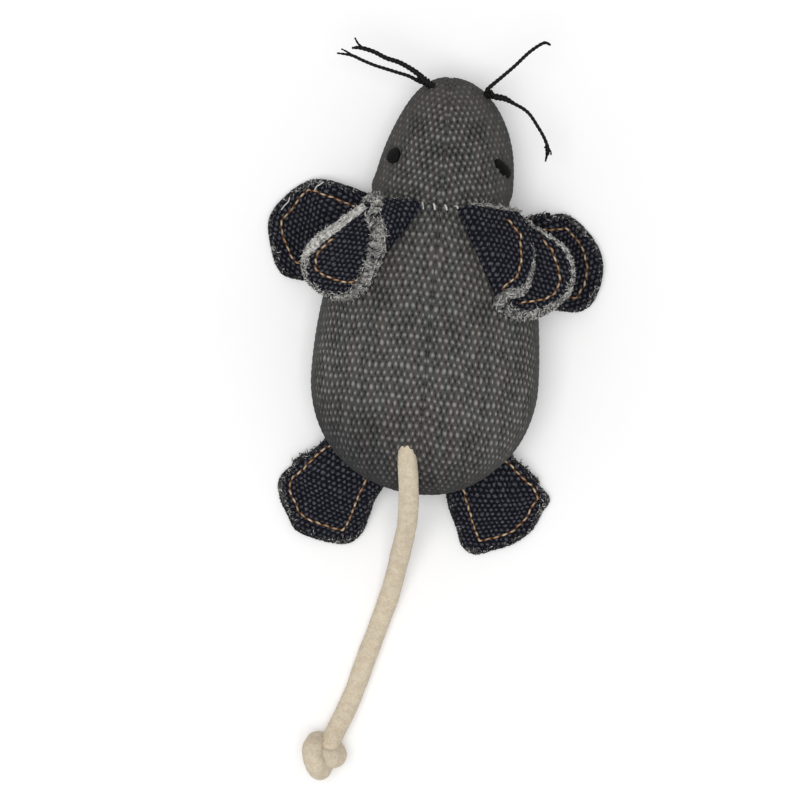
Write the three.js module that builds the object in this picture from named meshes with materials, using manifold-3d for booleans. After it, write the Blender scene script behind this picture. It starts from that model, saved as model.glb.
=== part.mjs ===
// A stuffed canvas mouse: a cat toy with denim ears and paws, thread whiskers and a knotted cord tail.
// Millimetres, +Z up, nose towards +Y, +X to its right. The origin is on the flat that the belly rests on.
import * as THREE from "three";
import { mergeVertices } from "three/addons/utils/BufferGeometryUtils.js";
import Module from "manifold-3d";

const { clamp, lerp, smoothstep, degToRad } = THREE.MathUtils;

// Cloth, thread and the room between pieces
const clearance = 0.3;
const canvasThickness = 1.1;
const denimThickness = 0.8;
const seamGroove = 1.2;
const surfaceRoom = 0.1;
const seamThread = 0.6;
const topstitchThread = 0.7;

// Lengths along the toy, most of them from the widest place; the body's taper would end at its front reach
const widestBehindOrigin = 12;
const rumpReach = 34.4;
const neckReach = 52.5;
const bodyFrontReach = 66;
const neckBlend = 3.5;
const cheekReach = 5.5;
const headReach = 33;
const widestY = -widestBehindOrigin;
const rumpY = widestY - rumpReach;
const neckY = widestY + neckReach;
const cheekY = neckY + cheekReach;
const noseY = cheekY + headReach;

// Stuffed sections: half width, and heights over and under the widest line
const bodyHalfWidth = 34.3;
const bodyRise = 26.5;
const bodyDrop = 16.5;
const bodyPressedFlat = 0.5;
const headHalfWidth = 21.4;
const headRise = 16.2;
const headDrop = 13;
const chinHeight = 2;
const bodyAxisZ = bodyDrop - bodyPressedFlat;
const headAxisZ = chinHeight + headDrop;

// How full the swelling is: 2 is an ellipse and more is squarer
const roundPowerShare = 2;
const nosePowerShare = 2.15;
const bellyPowerShare = 3;
const undersidePowerShare = 2.6;

// Where the belly seam runs, as an angle from the ridge of the back
const bellySeamAngle = degToRad(115);

// Ears: each is measured along and out from the fold in its cloth
const earLength = 36.5;
const earFoldRadius = 2.2;
const earFoldX = 7.6;
const earFoldAngle = degToRad(29);
const earBaseSlopeShare = 0.6;
const earLieSlopeShare = 0.6;

// Cut of the paws
const pawLength = 25.8;
const pawHalfWidth = 15.2;
const pawRootHalfWidth = 12.2;
const pawCentreOut = 10.5;
const pawPowerShare = 2.4;
const frontPawShare = 0.768;
const hindPawShare = 0.773;

// Round trim: the topstitches' distances are from the frayed edge
const earTopstitchInset = 5;
const pawTopstitchInset = 3.8;
const whiskerDiameter = 1.2;
const tailDiameter = 6.1;
const knotDiameter = 13.8;

const canvasGrey = new THREE.MeshStandardMaterial({ color: 0x575654, roughness: 0.95 });
const headGrey = new THREE.MeshStandardMaterial({ color: 0x4c4c4a, roughness: 0.95 });
const denimNavy = new THREE.MeshStandardMaterial({ color: 0x26262b, roughness: 0.95 });
const fibreWhite = new THREE.MeshStandardMaterial({ color: 0xe8e6e0, roughness: 1 });
const threadGrey = new THREE.MeshStandardMaterial({ color: 0x3c3c3b, roughness: 0.9 });
const threadTan = new THREE.MeshStandardMaterial({ color: 0xb07a40, roughness: 0.8 });
const threadBlack = new THREE.MeshStandardMaterial({ color: 0x0b0b0c, roughness: 0.55 });
const cottonCream = new THREE.MeshStandardMaterial({ color: 0xccbda7, roughness: 0.9 });

const hands = [["left", -1], ["right", 1]];
const toy = new THREE.Group();

// Swelling of a stuffed form at a share of the way from its widest place to its tip
function swell(share, power) {
  return Math.pow(Math.max(0, 1 - Math.pow(Math.min(share, 1), power)), 1 / power);
}

// Half width, rise, drop and height of the widest line at a station along Y
function section(y) {
  const rear = (widestY - y) / rumpReach;
  const body = y < widestY ? rear : (y - widestY) / bodyFrontReach;
  const head = Math.max(0, (y - cheekY) / headReach);
  const share = smoothstep(y, neckY - neckBlend, cheekY);
  const headSwell = swell(head, nosePowerShare);
  return {
    half: lerp(bodyHalfWidth * swell(body, roundPowerShare), headHalfWidth * headSwell, share),
    rise: lerp(bodyRise * swell(body, roundPowerShare), headRise * headSwell, share),
    drop: lerp(bodyDrop * swell(body, bellyPowerShare), headDrop * headSwell, share),
    axisZ: lerp(bodyAxisZ, headAxisZ, share),
  };
}

// A station runs 0 at the rump, 1 at the widest place, 2 at the cheeks and 3 at the nose
function stationY(station) {
  if (station < 1) return widestY - rumpReach * Math.cos((station * Math.PI) / 2);
  if (station < 2) return lerp(widestY, cheekY, station - 1);
  return cheekY + headReach * Math.sin(((station - 2) * Math.PI) / 2);
}

function stationOf(y) {
  if (y < widestY) return (Math.acos((widestY - y) / rumpReach) * 2) / Math.PI;
  if (y < cheekY) return 1 + (y - widestY) / (cheekY - widestY);
  return 2 + (Math.asin((y - cheekY) / headReach) * 2) / Math.PI;
}

const neckStation = stationOf(neckY);
const poleShare = 0.025;

// The outer face of the cloth at an angle from the ridge, positive to the toy's +X side
function skinPoint(angle, station) {
  const { half, rise, drop, axisZ } = section(stationY(station));
  const across = Math.sin(angle);
  const up = Math.cos(angle);
  if (up >= 0) return new THREE.Vector3(half * across, stationY(station), axisZ + rise * up);
  const power = 2 / undersidePowerShare;
  const x = half * Math.sign(across) * Math.pow(Math.abs(across), power);
  return new THREE.Vector3(x, stationY(station), axisZ - drop * Math.pow(-up, power));
}

const probeShare = 0.002;

function skinNormal(angle, station) {
  const around = skinPoint(angle + probeShare, station).sub(skinPoint(angle - probeShare, station));
  const along = skinPoint(angle, station + probeShare).sub(skinPoint(angle, station - probeShare));
  return along.cross(around).normalize().negate();
}

// A point at a depth under the outer face
function skin(angle, station, depth) {
  return skinPoint(angle, station).addScaledVector(skinNormal(angle, station), -depth);
}

// The angle and station on the head, from shares of its half width and of the way from the cheeks to the nose
function headPlace(acrossShare, alongShare) {
  return [Math.asin(acrossShare), stationOf(cheekY + headReach * alongShare)];
}

// Closed geometry from points and triangles, with its faces turned outwards
function closedGeometry(points, triangles) {
  let volume = 0;
  for (const [a, b, c] of triangles) volume += points[a].dot(points[b].clone().cross(points[c]));
  const index = volume < 0 ? triangles.map(([a, b, c]) => [a, c, b]) : triangles;
  const geometry = new THREE.BufferGeometry().setFromPoints(points);
  geometry.setIndex(index.flat());
  geometry.computeVertexNormals();
  return geometry;
}

// Two triangles for the cell between four point numbers, in turn round the cell
function cell(a, b, c, d) {
  return [[a, b, c], [a, c, d]];
}

// A sheet with two faces and an edge all round; point(u, v, side) has u and v from 0 to 1 and side 0 or 1
function sheetGeometry(columns, rows, point) {
  const points = [];
  const triangles = [];
  const at = (i, j, side) => (side * (columns + 1) + i) * (rows + 1) + j;
  for (const side of [0, 1])
    for (let i = 0; i <= columns; i++)
      for (let j = 0; j <= rows; j++) points.push(point(i / columns, j / rows, side));
  for (let i = 0; i < columns; i++) {
    for (let j = 0; j < rows; j++) {
      triangles.push(...cell(at(i, j, 0), at(i, j + 1, 0), at(i + 1, j + 1, 0), at(i + 1, j, 0)));
      triangles.push(...cell(at(i, j, 1), at(i + 1, j, 1), at(i + 1, j + 1, 1), at(i, j + 1, 1)));
    }
    triangles.push(...cell(at(i, 0, 0), at(i + 1, 0, 0), at(i + 1, 0, 1), at(i, 0, 1)));
    triangles.push(...cell(at(i, rows, 0), at(i, rows, 1), at(i + 1, rows, 1), at(i + 1, rows, 0)));
  }
  const end = columns;
  for (let j = 0; j < rows; j++) {
    triangles.push(...cell(at(0, j, 0), at(0, j, 1), at(0, j + 1, 1), at(0, j + 1, 0)));
    triangles.push(...cell(at(end, j, 0), at(end, j + 1, 0), at(end, j + 1, 1), at(end, j, 1)));
  }
  return closedGeometry(points, triangles);
}

// A solid carried through closed rings of points, with a fan over each end
function ringGeometry(rings) {
  const count = rings[0].length;
  const points = rings.flat();
  const triangles = [];
  const at = (ring, k) => ring * count + (k % count);
  for (let ring = 0; ring < rings.length - 1; ring++)
    for (let k = 0; k < count; k++)
      triangles.push(...cell(at(ring, k), at(ring, k + 1), at(ring + 1, k + 1), at(ring + 1, k)));
  for (const ring of [0, rings.length - 1]) {
    const middle = rings[ring].reduce((sum, p) => sum.add(p), new THREE.Vector3()).divideScalar(count);
    points.push(middle);
    const hub = points.length - 1;
    for (let k = 0; k < count; k++)
      triangles.push(ring === 0 ? [hub, at(ring, k + 1), at(ring, k)] : [hub, at(ring, k), at(ring, k + 1)]);
  }
  return closedGeometry(points, triangles);
}

// A round tube along a smooth curve through the points
function tubeGeometry(points, diameter, sides, steps) {
  const outline = new THREE.Shape();
  outline.absarc(0, 0, diameter / 2, 0, 2 * Math.PI);
  const ring = new THREE.Shape(outline.getSpacedPoints(sides).slice(0, sides));
  const path = new THREE.CatmullRomCurve3(points, false, "centripetal");
  return new THREE.ExtrudeGeometry(ring, { steps, bevelEnabled: false, extrudePath: path });
}

const wasm = await Module();
wasm.setup();
const weldTolerance = 1e-4;

function toSolid(geometry) {
  const bare = geometry.clone().deleteAttribute("normal").deleteAttribute("uv");
  const merged = mergeVertices(bare, weldTolerance);
  const vertProperties = merged.getAttribute("position").array;
  return new wasm.Manifold(new wasm.Mesh({ numProp: 3, vertProperties, triVerts: merged.index.array }));
}

function toGeometry(solid) {
  const { vertProperties, triVerts } = solid.getMesh();
  const geometry = new THREE.BufferGeometry();
  geometry.setAttribute("position", new THREE.BufferAttribute(vertProperties, 3));
  geometry.setIndex(new THREE.BufferAttribute(triVerts, 1));
  geometry.computeVertexNormals();
  return geometry;
}

function addPiece(name, geometry, material) {
  const mesh = new THREE.Mesh(geometry, material);
  mesh.name = name;
  toy.add(mesh);
}

// Angle that a length of cloth takes up around a section
function angleOf(length, station) {
  const { half, rise } = section(stationY(station));
  return Math.asin(Math.min(length / Math.min(half, rise), 1)) / 2;
}

// Panels of the skin, each between two edges that are angles depending on the station; the belly is cut flat
const ridgeEdge = (station) => angleOf(seamGroove, station);
const flankEdge = (station) => bellySeamAngle - angleOf(seamGroove, station);
const bellyEdge = (station) => bellySeamAngle + angleOf(seamGroove, station);
const sideSteps = 7;
const bellySteps = 8;
const rumpSteps = 6;
const flankSteps = 6;
const muzzleSteps = 6;
const grooveShare = seamGroove / 2 / (cheekY - widestY);
const bodyStations = stationList(poleShare, neckStation - grooveShare, [rumpSteps, flankSteps]);
const headStations = [neckStation + grooveShare, ...stationList(2, 3 - poleShare, [muzzleSteps])];

// Stations from first to last with even steps in each whole stretch
function stationList(first, last, stepCounts) {
  const stations = [first];
  stepCounts.forEach((steps, stretch) => {
    const from = stretch === 0 ? first : Math.floor(first) + stretch;
    const to = stretch === stepCounts.length - 1 ? last : Math.floor(first) + stretch + 1;
    for (let k = 1; k <= steps; k++) stations.push(lerp(from, to, k / steps));
  });
  return stations;
}

function panelGeometry(stations, steps, fromEdge, toEdge) {
  const rows = stations.length - 1;
  return sheetGeometry(steps, rows, (u, v, side) => {
    const station = stations[Math.round(v * rows)];
    const angle = lerp(fromEdge(station), toEdge(station), u);
    return skin(angle, station, side * canvasThickness);
  });
}

function addPanels() {
  for (const [hand, side] of hands) {
    const ridge = (station) => side * ridgeEdge(station);
    const flank = (station) => side * flankEdge(station);
    addPiece(`back_${hand}_panel`, panelGeometry(bodyStations, sideSteps, ridge, flank), canvasGrey);
    addPiece(`head_${hand}_panel`, panelGeometry(headStations, sideSteps, ridge, flank), headGrey);
  }
  const stations = [...bodyStations, ...headStations];
  const farEdge = (station) => 2 * Math.PI - bellyEdge(station);
  const belly = toSolid(panelGeometry(stations, bellySteps, bellyEdge, farEdge));
  const floor = new THREE.BoxGeometry(3 * bodyHalfWidth, 3 * neckReach, bodyDrop);
  floor.translate(0, 0, -bodyDrop / 2);
  addPiece("belly_panel", toGeometry(belly.subtract(toSolid(floor))), canvasGrey);
}

// Even steps from one value to another, both ends included
function evenly(from, to, steps) {
  return Array.from({ length: steps + 1 }, (_, k) => lerp(from, to, k / steps));
}

// Angles all round a section, through the edges of the panels that cover it
function stuffingAngles(station) {
  const side = evenly(ridgeEdge(station), flankEdge(station), sideSteps);
  const belly = evenly(bellyEdge(station), 2 * Math.PI - bellyEdge(station), bellySteps);
  return [...side, ...belly, ...side.map((angle) => 2 * Math.PI - angle).reverse()];
}

// The stuffed form at a depth under the outer face, over a run of stations
function formGeometry(stations, depth) {
  const ring = (station) => stuffingAngles(station).map((angle) => skin(angle, station, depth));
  return ringGeometry(stations.map(ring));
}

function addStuffing() {
  addPiece("body_stuffing", formGeometry(bodyStations, canvasThickness + clearance), fibreWhite);
  addPiece("head_stuffing", formGeometry(headStations, canvasThickness + clearance), fibreWhite);
}

// Sewing thread in the grooves between the panels
const seamSides = 5;
const seamSteps = 24;
const seamDepth = canvasThickness / 2;

function seamPoints(angle, fromStation, toStation) {
  return evenly(fromStation, toStation, seamSteps).map((station) => skin(angle, station, seamDepth));
}

function addSeams() {
  const tube = (points) => tubeGeometry(points, seamThread, seamSides, seamSteps);
  const rear = 2 * poleShare;
  const front = 3 - 2 * poleShare;
  addPiece("back_seam_thread", tube(seamPoints(0, rear, neckStation - 2 * grooveShare)), threadGrey);
  addPiece("head_seam_thread", tube(seamPoints(0, neckStation + 2 * grooveShare, front)), threadGrey);
  for (const [hand, side] of hands)
    addPiece(`belly_seam_${hand}_thread`, tube(seamPoints(side * bellySeamAngle, rear, front)), threadGrey);
  const reach = bellySeamAngle - 2 * angleOf(seamGroove, neckStation);
  const neckPoints = evenly(-reach, reach, seamSteps).map((angle) => skin(angle, neckStation, seamDepth));
  addPiece("neck_seam_thread", tube(neckPoints), threadGrey);
}

// Height of the cloth that lies on the back: it follows the skin, then leaves it at the lying slope
function lieHeight(x, y) {
  const { half, rise, axisZ } = section(y);
  const steep = (earLieSlopeShare * half) / rise;
  const leaveX = (half * steep) / Math.hypot(1, steep);
  const onSkin = Math.min(Math.abs(x), leaveX);
  const skinHeight = axisZ + rise * Math.sqrt(1 - (onSkin / half) ** 2);
  return skinHeight - earLieSlopeShare * (Math.abs(x) - onSkin);
}

// An ear's cloth runs from the outer end of its leaf round the fold to the outer end of its flap. Each row
// has the sewn base's place out from the fold, the share of the fold that it is past, and the rim's place
// along the fold, out from it and over the back. Places are shares of the ear's length.
const leftEar = {
  hand: "left",
  side: -1,
  rowShares: [
    [0.335, 0, 0.665, 0.51, 0.095], [0.3, 0, 0.805, 0.53, 0.125], [0.235, 0, 0.93, 0.485, 0.135],
    [0.175, 0, 1.015, 0.37, 0.135], [0.11, 0, 1.04, 0.215, 0.125], [0.05, 0, 1.005, 0.065, 0.11],
    [-0.005, 0.06, 0.925, -0.045, 0.125], [-0.057, 0.5, 0.77, -0.09, 0.18], [0.01, 1, 0.59, -0.08, 0.26],
    [0.095, 1, 0.465, -0.03, 0.315], [0.19, 1, 0.36, 0.04, 0.315], [0.3, 1, 0.265, 0.12, 0.29],
  ],
};
const rightEar = {
  hand: "right",
  side: 1,
  rowShares: [
    [0.41, 0, 0.54, 0.605, 0.027], [0.355, 0, 0.69, 0.63, 0.045], [0.285, 0, 0.85, 0.595, 0.05],
    [0.195, 0, 0.995, 0.48, 0.05], [0.1, 0, 1.06, 0.24, 0.033], [0.01, 0, 1.015, 0.02, 0.016],
    [-0.057, 0.5, 0.885, -0.06, 0.075], [0.01, 1, 0.83, 0, 0.145], [0.11, 1, 0.84, 0.15, 0.145],
    [0.205, 1, 0.68, 0.295, 0.142], [0.29, 1, 0.48, 0.373, 0.137], [0.36, 1, 0.28, 0.383, 0.126],
  ],
};
const earStandOff = clearance + denimThickness + clearance / 2 + surfaceRoom;

// A place given along the fold, out from it and over the cloth that lies on the back
function earPlace(ear, { x: along, y: out, z: height }) {
  const cos = Math.cos(earFoldAngle);
  const sin = Math.sin(earFoldAngle);
  const x = ear.side * (earFoldX + along * sin + out * cos);
  const y = neckY - seamGroove / 2 - along * cos + out * sin;
  const stand = earStandOff * Math.hypot(1, earLieSlopeShare);
  return new THREE.Vector3(x, y, lieHeight(x, Math.min(y, neckY)) + stand + height);
}

function smoothCurve(points) {
  return new THREE.CatmullRomCurve3(points, false, "catmullrom");
}

// The middle surface of an ear at a share of the way from its base to its rim, and of the way round it
function earSurface(ear) {
  const base = smoothCurve(ear.rowShares.map(([out, fold]) => {
    const along = earBaseSlopeShare * Math.max(out, 0) * earLength;
    return new THREE.Vector3(along, out * earLength, 2 * earFoldRadius * fold);
  }));
  const rimPoint = ([, , ...place]) => new THREE.Vector3(...place).multiplyScalar(earLength);
  const rim = smoothCurve(ear.rowShares.map(rimPoint));
  return (share, round) => {
    const kept = clamp(round, 0, 1);
    return earPlace(ear, base.getPoint(kept).lerp(rim.getPoint(kept), share));
  };
}

// Offset from a sheet's middle surface, towards the face that point(s, t) shows upwards
function offsetFrom(point, s, t, distance, hand, step) {
  const alongS = point(s + step, t).sub(point(s - step, t));
  const alongT = point(s, t + step).sub(point(s, t - step));
  return point(s, t).addScaledVector(alongS.cross(alongT).normalize(), hand * distance);
}

const earColumns = 33;
const earRows = 6;

function earClothGeometry(ear, inner, outer) {
  const surface = earSurface(ear);
  return sheetGeometry(earColumns, earRows, (u, v, side) =>
    offsetFrom(surface, v, u, side ? outer : inner, -ear.side, probeShare));
}

// The topstitch runs inside the rim, from near the outer end of the leaf round to near that of the flap
const topstitchSides = 5;
const topstitchSteps = 30;
const stitchEndShare = 0.12;

function earStitchPlace(surface, t) {
  const round = lerp(stitchEndShare, 1 - stitchEndShare, t);
  return [1 - earTopstitchInset / surface(0, round).distanceTo(surface(1, round)), round];
}

function addEar(ear) {
  const near = clearance / 2;
  const far = near + denimThickness;
  addPiece(`${ear.hand}_ear_outer_cloth`, earClothGeometry(ear, -far, -near), denimNavy);
  addPiece(`${ear.hand}_ear_inner_cloth`, earClothGeometry(ear, near, far), denimNavy);
  const height = far + surfaceRoom + clearance / 2 + topstitchThread / 2;
  const surface = earSurface(ear);
  const point = (t) => offsetFrom(surface, ...earStitchPlace(surface, t), height, -ear.side, probeShare);
  addTopstitch(`${ear.hand}_ear_topstitch`, evenly(0, 1, topstitchSteps).map(point));
}

function addTopstitch(name, points) {
  addPiece(name, tubeGeometry(points, topstitchThread, topstitchSides, topstitchSteps), threadTan);
}

// A paw: its root on the belly seam, and the plan direction that it points in
const frontPaw = { place: "front", rootY: lerp(widestY, neckY, frontPawShare), outAngle: 0 };
const hindPaw = { place: "hind", rootY: lerp(widestY, rumpY, hindPawShare), outAngle: degToRad(-58) };
const pawRootStandOff = 1.1;
const pawRootBelowSeam = 0.9;
const pawSettlesOver = 15;
const pawStraightensOver = 11;
const pawTipLift = 1.6;
const pawFloorHeight = clearance + denimThickness + clearance / 2;
const pawColumns = 10;
const pawRows = 5;
const pawRimShare = 0.985;
const pawProbe = clearance / 2;

function seamPlace(side, y) {
  return skinPoint(side * bellySeamAngle, stationOf(y));
}

// The place on the belly seam that lies at a distance b along the paw's root line
function rootPlace(side, root, along, b) {
  let low = rumpY;
  let high = neckY;
  const halvings = 30;
  for (let k = 0; k < halvings; k++) {
    const middle = (low + high) / 2;
    if (seamPlace(side, middle).sub(root).dot(along) < b) low = middle;
    else high = middle;
  }
  return seamPlace(side, low);
}

// The middle surface of a paw at a out from its root line and b along it
function pawSurface(paw, side) {
  const out = new THREE.Vector3(side * Math.cos(paw.outAngle), Math.sin(paw.outAngle), 0);
  const along = new THREE.Vector3(-side * out.y, side * out.x, 0);
  const root = seamPlace(side, paw.rootY);
  return (a, b) => {
    const rootB = clamp(b, -pawRootHalfWidth, pawRootHalfWidth);
    const seam = rootPlace(side, root, along, rootB);
    const toSeam = seam.clone().sub(root).addScaledVector(along, -rootB);
    const point = root.clone().addScaledVector(along, b).addScaledVector(out, a + pawRootStandOff);
    point.addScaledVector(toSeam, 1 - smoothstep(a, 0, pawStraightensOver));
    const settled = smoothstep(a, 0, pawSettlesOver);
    const lift = pawTipLift * smoothstep(a, pawSettlesOver, pawLength);
    point.z = lerp(seam.z - pawRootBelowSeam, pawFloorHeight, settled) + lift;
    return point;
  };
}

function pawSpan(b) {
  const reach = (pawLength - pawCentreOut) * swell(Math.abs(b) / pawHalfWidth, pawPowerShare);
  return [Math.max(0, pawCentreOut - reach), pawCentreOut + reach];
}

function pawClothGeometry(surface, hand, inner, outer) {
  return sheetGeometry(pawColumns, pawRows, (u, v, side) => {
    const b = pawHalfWidth * pawRimShare * Math.sin(((2 * u - 1) * Math.PI) / 2);
    const [low, high] = pawSpan(b);
    return offsetFrom(surface, lerp(low, high, v), b, side ? outer : inner, hand, pawProbe);
  });
}

function pawStitchPlace(t) {
  const turn = lerp(-1, 1, t) * (Math.PI - 2 * stitchEndShare * Math.PI);
  const power = 2 / pawPowerShare;
  const a = Math.sign(Math.cos(turn)) * Math.pow(Math.abs(Math.cos(turn)), power);
  const b = Math.sign(Math.sin(turn)) * Math.pow(Math.abs(Math.sin(turn)), power);
  const out = pawCentreOut + (pawLength - pawCentreOut - pawTopstitchInset) * a;
  return [Math.max(out, pawTopstitchInset / 2), (pawHalfWidth - pawTopstitchInset) * b];
}

function addPaw(paw, hand, side) {
  const surface = pawSurface(paw, side);
  const near = clearance / 2;
  const far = near + denimThickness;
  const name = `${hand}_${paw.place}_paw`;
  addPiece(`${name}_bottom_cloth`, pawClothGeometry(surface, side, -far, -near), denimNavy);
  addPiece(`${name}_top_cloth`, pawClothGeometry(surface, side, near, far), denimNavy);
  const height = far + clearance + 2 * surfaceRoom + topstitchThread / 2;
  const point = (t) => offsetFrom(surface, ...pawStitchPlace(t), height, side, pawProbe);
  addTopstitch(`${name}_topstitch`, evenly(0, 1, topstitchSteps).map(point));
}

// Eyes: domes of black stitches, given by their half sizes around and along the head
const eyes = [
  { name: "left_eye", placeShares: [-0.74, 0.255], halfAround: 2.5, halfAlong: 1.8, dome: 0.9 },
  { name: "right_eye", placeShares: [0.84, 0.233], halfAround: 3.3, halfAlong: 1.6, dome: 0.9 },
];
const eyeSpokes = 12;
const eyeRings = 3;
const eyeEdge = 0.25;

function addEye(eye) {
  const at = (turn, share, depth) => {
    const [acrossShare, alongShare] = eye.placeShares;
    const along = alongShare + (share * eye.halfAlong * Math.sin(turn)) / headReach;
    const [angle, station] = headPlace(acrossShare, along);
    return skin(angle + (share * eye.halfAround * Math.cos(turn)) / headHalfWidth, station, depth);
  };
  const turns = evenly(0, 2 * Math.PI, eyeSpokes).slice(1);
  const ring = (share, depth) => turns.map((turn) => at(turn, share, depth));
  const rings = [];
  const centreShare = 0.15;
  for (const share of [centreShare, 1]) rings.push(ring(share, -clearance));
  for (let k = 0; k <= eyeRings; k++) {
    const share = lerp(1, centreShare, k / eyeRings);
    rings.push(ring(share, -clearance - eyeEdge - eye.dome * swell(share, roundPowerShare)));
  }
  addPiece(eye.name, ringGeometry(rings), threadBlack);
}

// Whiskers: a knot on each side of the snout, and two stiff threads from each knot, one over the other
const whiskerSides = 8;
const whiskerSteps = 9;
const knotSegments = 12;
const leftKnot = { placeShares: [-0.614, 0.909], length: 5.6, width: 2.4, leanShares: [-0.85, 0.52, 0.06] };
const rightKnot = { placeShares: [0.928, 0.8455], length: 4.6, width: 2.6, leanShares: [0.87, 0, 0.49] };
const leftUpper = { long: 21.6, above: 0.9, bendShares: [-0.46, 0.21, 0.09], tipShares: [-0.93, 0.35, 0.13] };
const leftLower = { long: 23.9, above: -0.9, bendShares: [-0.5, 0.1, 0.05], tipShares: [-0.98, 0.18, 0] };
const rightUpper = { long: 21.3, above: 0.9, bendShares: [0.28, 0.44, 0.15], tipShares: [0.59, 0.77, 0.2] };
const rightLower = { long: 24.3, above: -0.9, bendShares: [0.41, -0.27, 0], tipShares: [0.63, -0.72, -0.1] };

function addWhisker(name, whisker, root) {
  const place = (shares) => new THREE.Vector3(...shares).multiplyScalar(whisker.long).add(start);
  const start = root.clone();
  start.z += whisker.above;
  const points = [start, place(whisker.bendShares), place(whisker.tipShares)];
  addPiece(name, tubeGeometry(points, whiskerDiameter, whiskerSides, whiskerSteps), threadBlack);
}

function addWhiskerPair(hand, knot, upper, lower) {
  const direction = new THREE.Vector3(...knot.leanShares).normalize();
  const centre = skin(...headPlace(...knot.placeShares), -clearance - knot.width / 2);
  centre.addScaledVector(direction, (knot.length - knot.width) / 2);
  const geometry = new THREE.SphereGeometry(knot.width / 2, knotSegments, knotSegments / 2);
  geometry.scale(1, knot.length / knot.width, 1);
  geometry.applyQuaternion(new THREE.Quaternion().setFromUnitVectors(new THREE.Vector3(0, 1, 0), direction));
  geometry.translate(centre.x, centre.y, centre.z);
  addPiece(`${hand}_whisker_knot`, geometry, threadBlack);
  const root = centre.clone().addScaledVector(direction, knot.length / 2 + clearance);
  addWhisker(`${hand}_upper_whisker`, upper, root);
  addWhisker(`${hand}_lower_whisker`, lower, root);
}

// The tail comes out of the rump's seam, bends down to the floor behind it and ends in a knot
const tailRoute = [
  [-4.4, -27, 34.2], [-4.2, -31, 34.6], [-3.6, -36, 34.6], [-2.9, -41, 33.2], [-2.3, -46, 30.2],
  [-1.9, -51, 25.6], [-1.8, -56, 19.8], [-2.2, -61, 13.8], [-2.9, -66.4, 8.6], [-3.8, -72.4, 4.9],
  [-5, -78.6, 3.4], [-6.6, -84.6, 3.1], [-8.4, -91.2, 3.1], [-10.6, -99, 3.1], [-12.8, -107.4, 3.1],
  [-15.1, -114.2, 3.8], [-17.3, -119.6, 5],
];
const tailSides = 12;
const tailSteps = 16;
const knotHeight = 11.6;
const knotSides = 16;

function addTail() {
  const points = tailRoute.map((place) => new THREE.Vector3(...place));
  const cord = toSolid(tubeGeometry(points, tailDiameter, tailSides, tailSteps));
  const body = toSolid(formGeometry(bodyStations, -clearance));
  addPiece("tail_cord", toGeometry(cord.subtract(body)), cottonCream);
  const [before, end] = points.slice(-2);
  const direction = end.clone().sub(before).normalize();
  const centre = end.clone().addScaledVector(direction, knotDiameter / 2 + clearance);
  const knot = new THREE.SphereGeometry(knotDiameter / 2, knotSides, knotSides / 2);
  knot.scale(1, 1, knotHeight / knotDiameter);
  knot.translate(centre.x, centre.y, knotHeight / 2);
  addPiece("tail_knot", knot, cottonCream);
}

addStuffing();
addPanels();
addSeams();
addEar(leftEar);
addEar(rightEar);
for (const [hand, side] of hands) {
  addPaw(frontPaw, hand, side);
  addPaw(hindPaw, hand, side);
}
for (const eye of eyes) addEye(eye);
addWhiskerPair("left", leftKnot, leftUpper, leftLower);
addWhiskerPair("right", rightKnot, rightUpper, rightLower);
addTail();

export default toy;
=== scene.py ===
"""A stuffed canvas mouse for cats: denim ears and paws, waxed thread whiskers, a cotton cord tail."""

import bpy
import numpy as np
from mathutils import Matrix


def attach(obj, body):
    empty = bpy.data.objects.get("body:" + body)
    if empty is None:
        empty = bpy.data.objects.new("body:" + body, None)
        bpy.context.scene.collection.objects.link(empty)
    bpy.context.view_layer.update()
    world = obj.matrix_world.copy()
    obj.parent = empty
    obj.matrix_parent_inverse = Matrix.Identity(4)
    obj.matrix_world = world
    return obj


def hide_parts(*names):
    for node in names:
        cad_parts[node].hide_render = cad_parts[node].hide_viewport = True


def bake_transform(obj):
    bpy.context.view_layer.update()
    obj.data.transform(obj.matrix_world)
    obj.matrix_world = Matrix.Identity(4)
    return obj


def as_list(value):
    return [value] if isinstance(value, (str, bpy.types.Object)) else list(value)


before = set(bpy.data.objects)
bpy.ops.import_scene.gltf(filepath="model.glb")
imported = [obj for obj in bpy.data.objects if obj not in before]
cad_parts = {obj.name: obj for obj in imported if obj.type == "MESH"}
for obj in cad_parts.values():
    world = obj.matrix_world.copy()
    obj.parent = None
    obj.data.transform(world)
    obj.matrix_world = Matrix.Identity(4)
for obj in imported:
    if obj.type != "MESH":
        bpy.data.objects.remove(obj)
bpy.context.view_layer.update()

# Camera: straight above the toy and turned a little against it, as the photograph is taken. Its picture
# is 240 mm wide at the height of the toy's widest line.
MM = 0.001
scene = bpy.context.scene
scene.view_settings.view_transform = "Standard"
camera_height = 1.2
picture_width = 240 * MM
widest_line_height = 15 * MM
picture_centre = (-6.8 * MM, -18.7 * MM)
camera_turn = 5
lens = bpy.data.cameras.new("camera")
lens.lens = lens.sensor_width * (camera_height - widest_line_height) / picture_width
camera = bpy.data.objects.new("camera", lens)
camera.location = (*picture_centre, camera_height)
camera.rotation_euler = (0, 0, np.radians(camera_turn))
scene.collection.objects.link(camera)
scene.camera = camera


# Studio: one wide soft lamp high over the tail and to the left, a white world that fills the shade, and
# a broad white sheet as the floor. Cloth and thread shine little, so their specular level is low.
cloth_shine = 0.12


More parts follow.
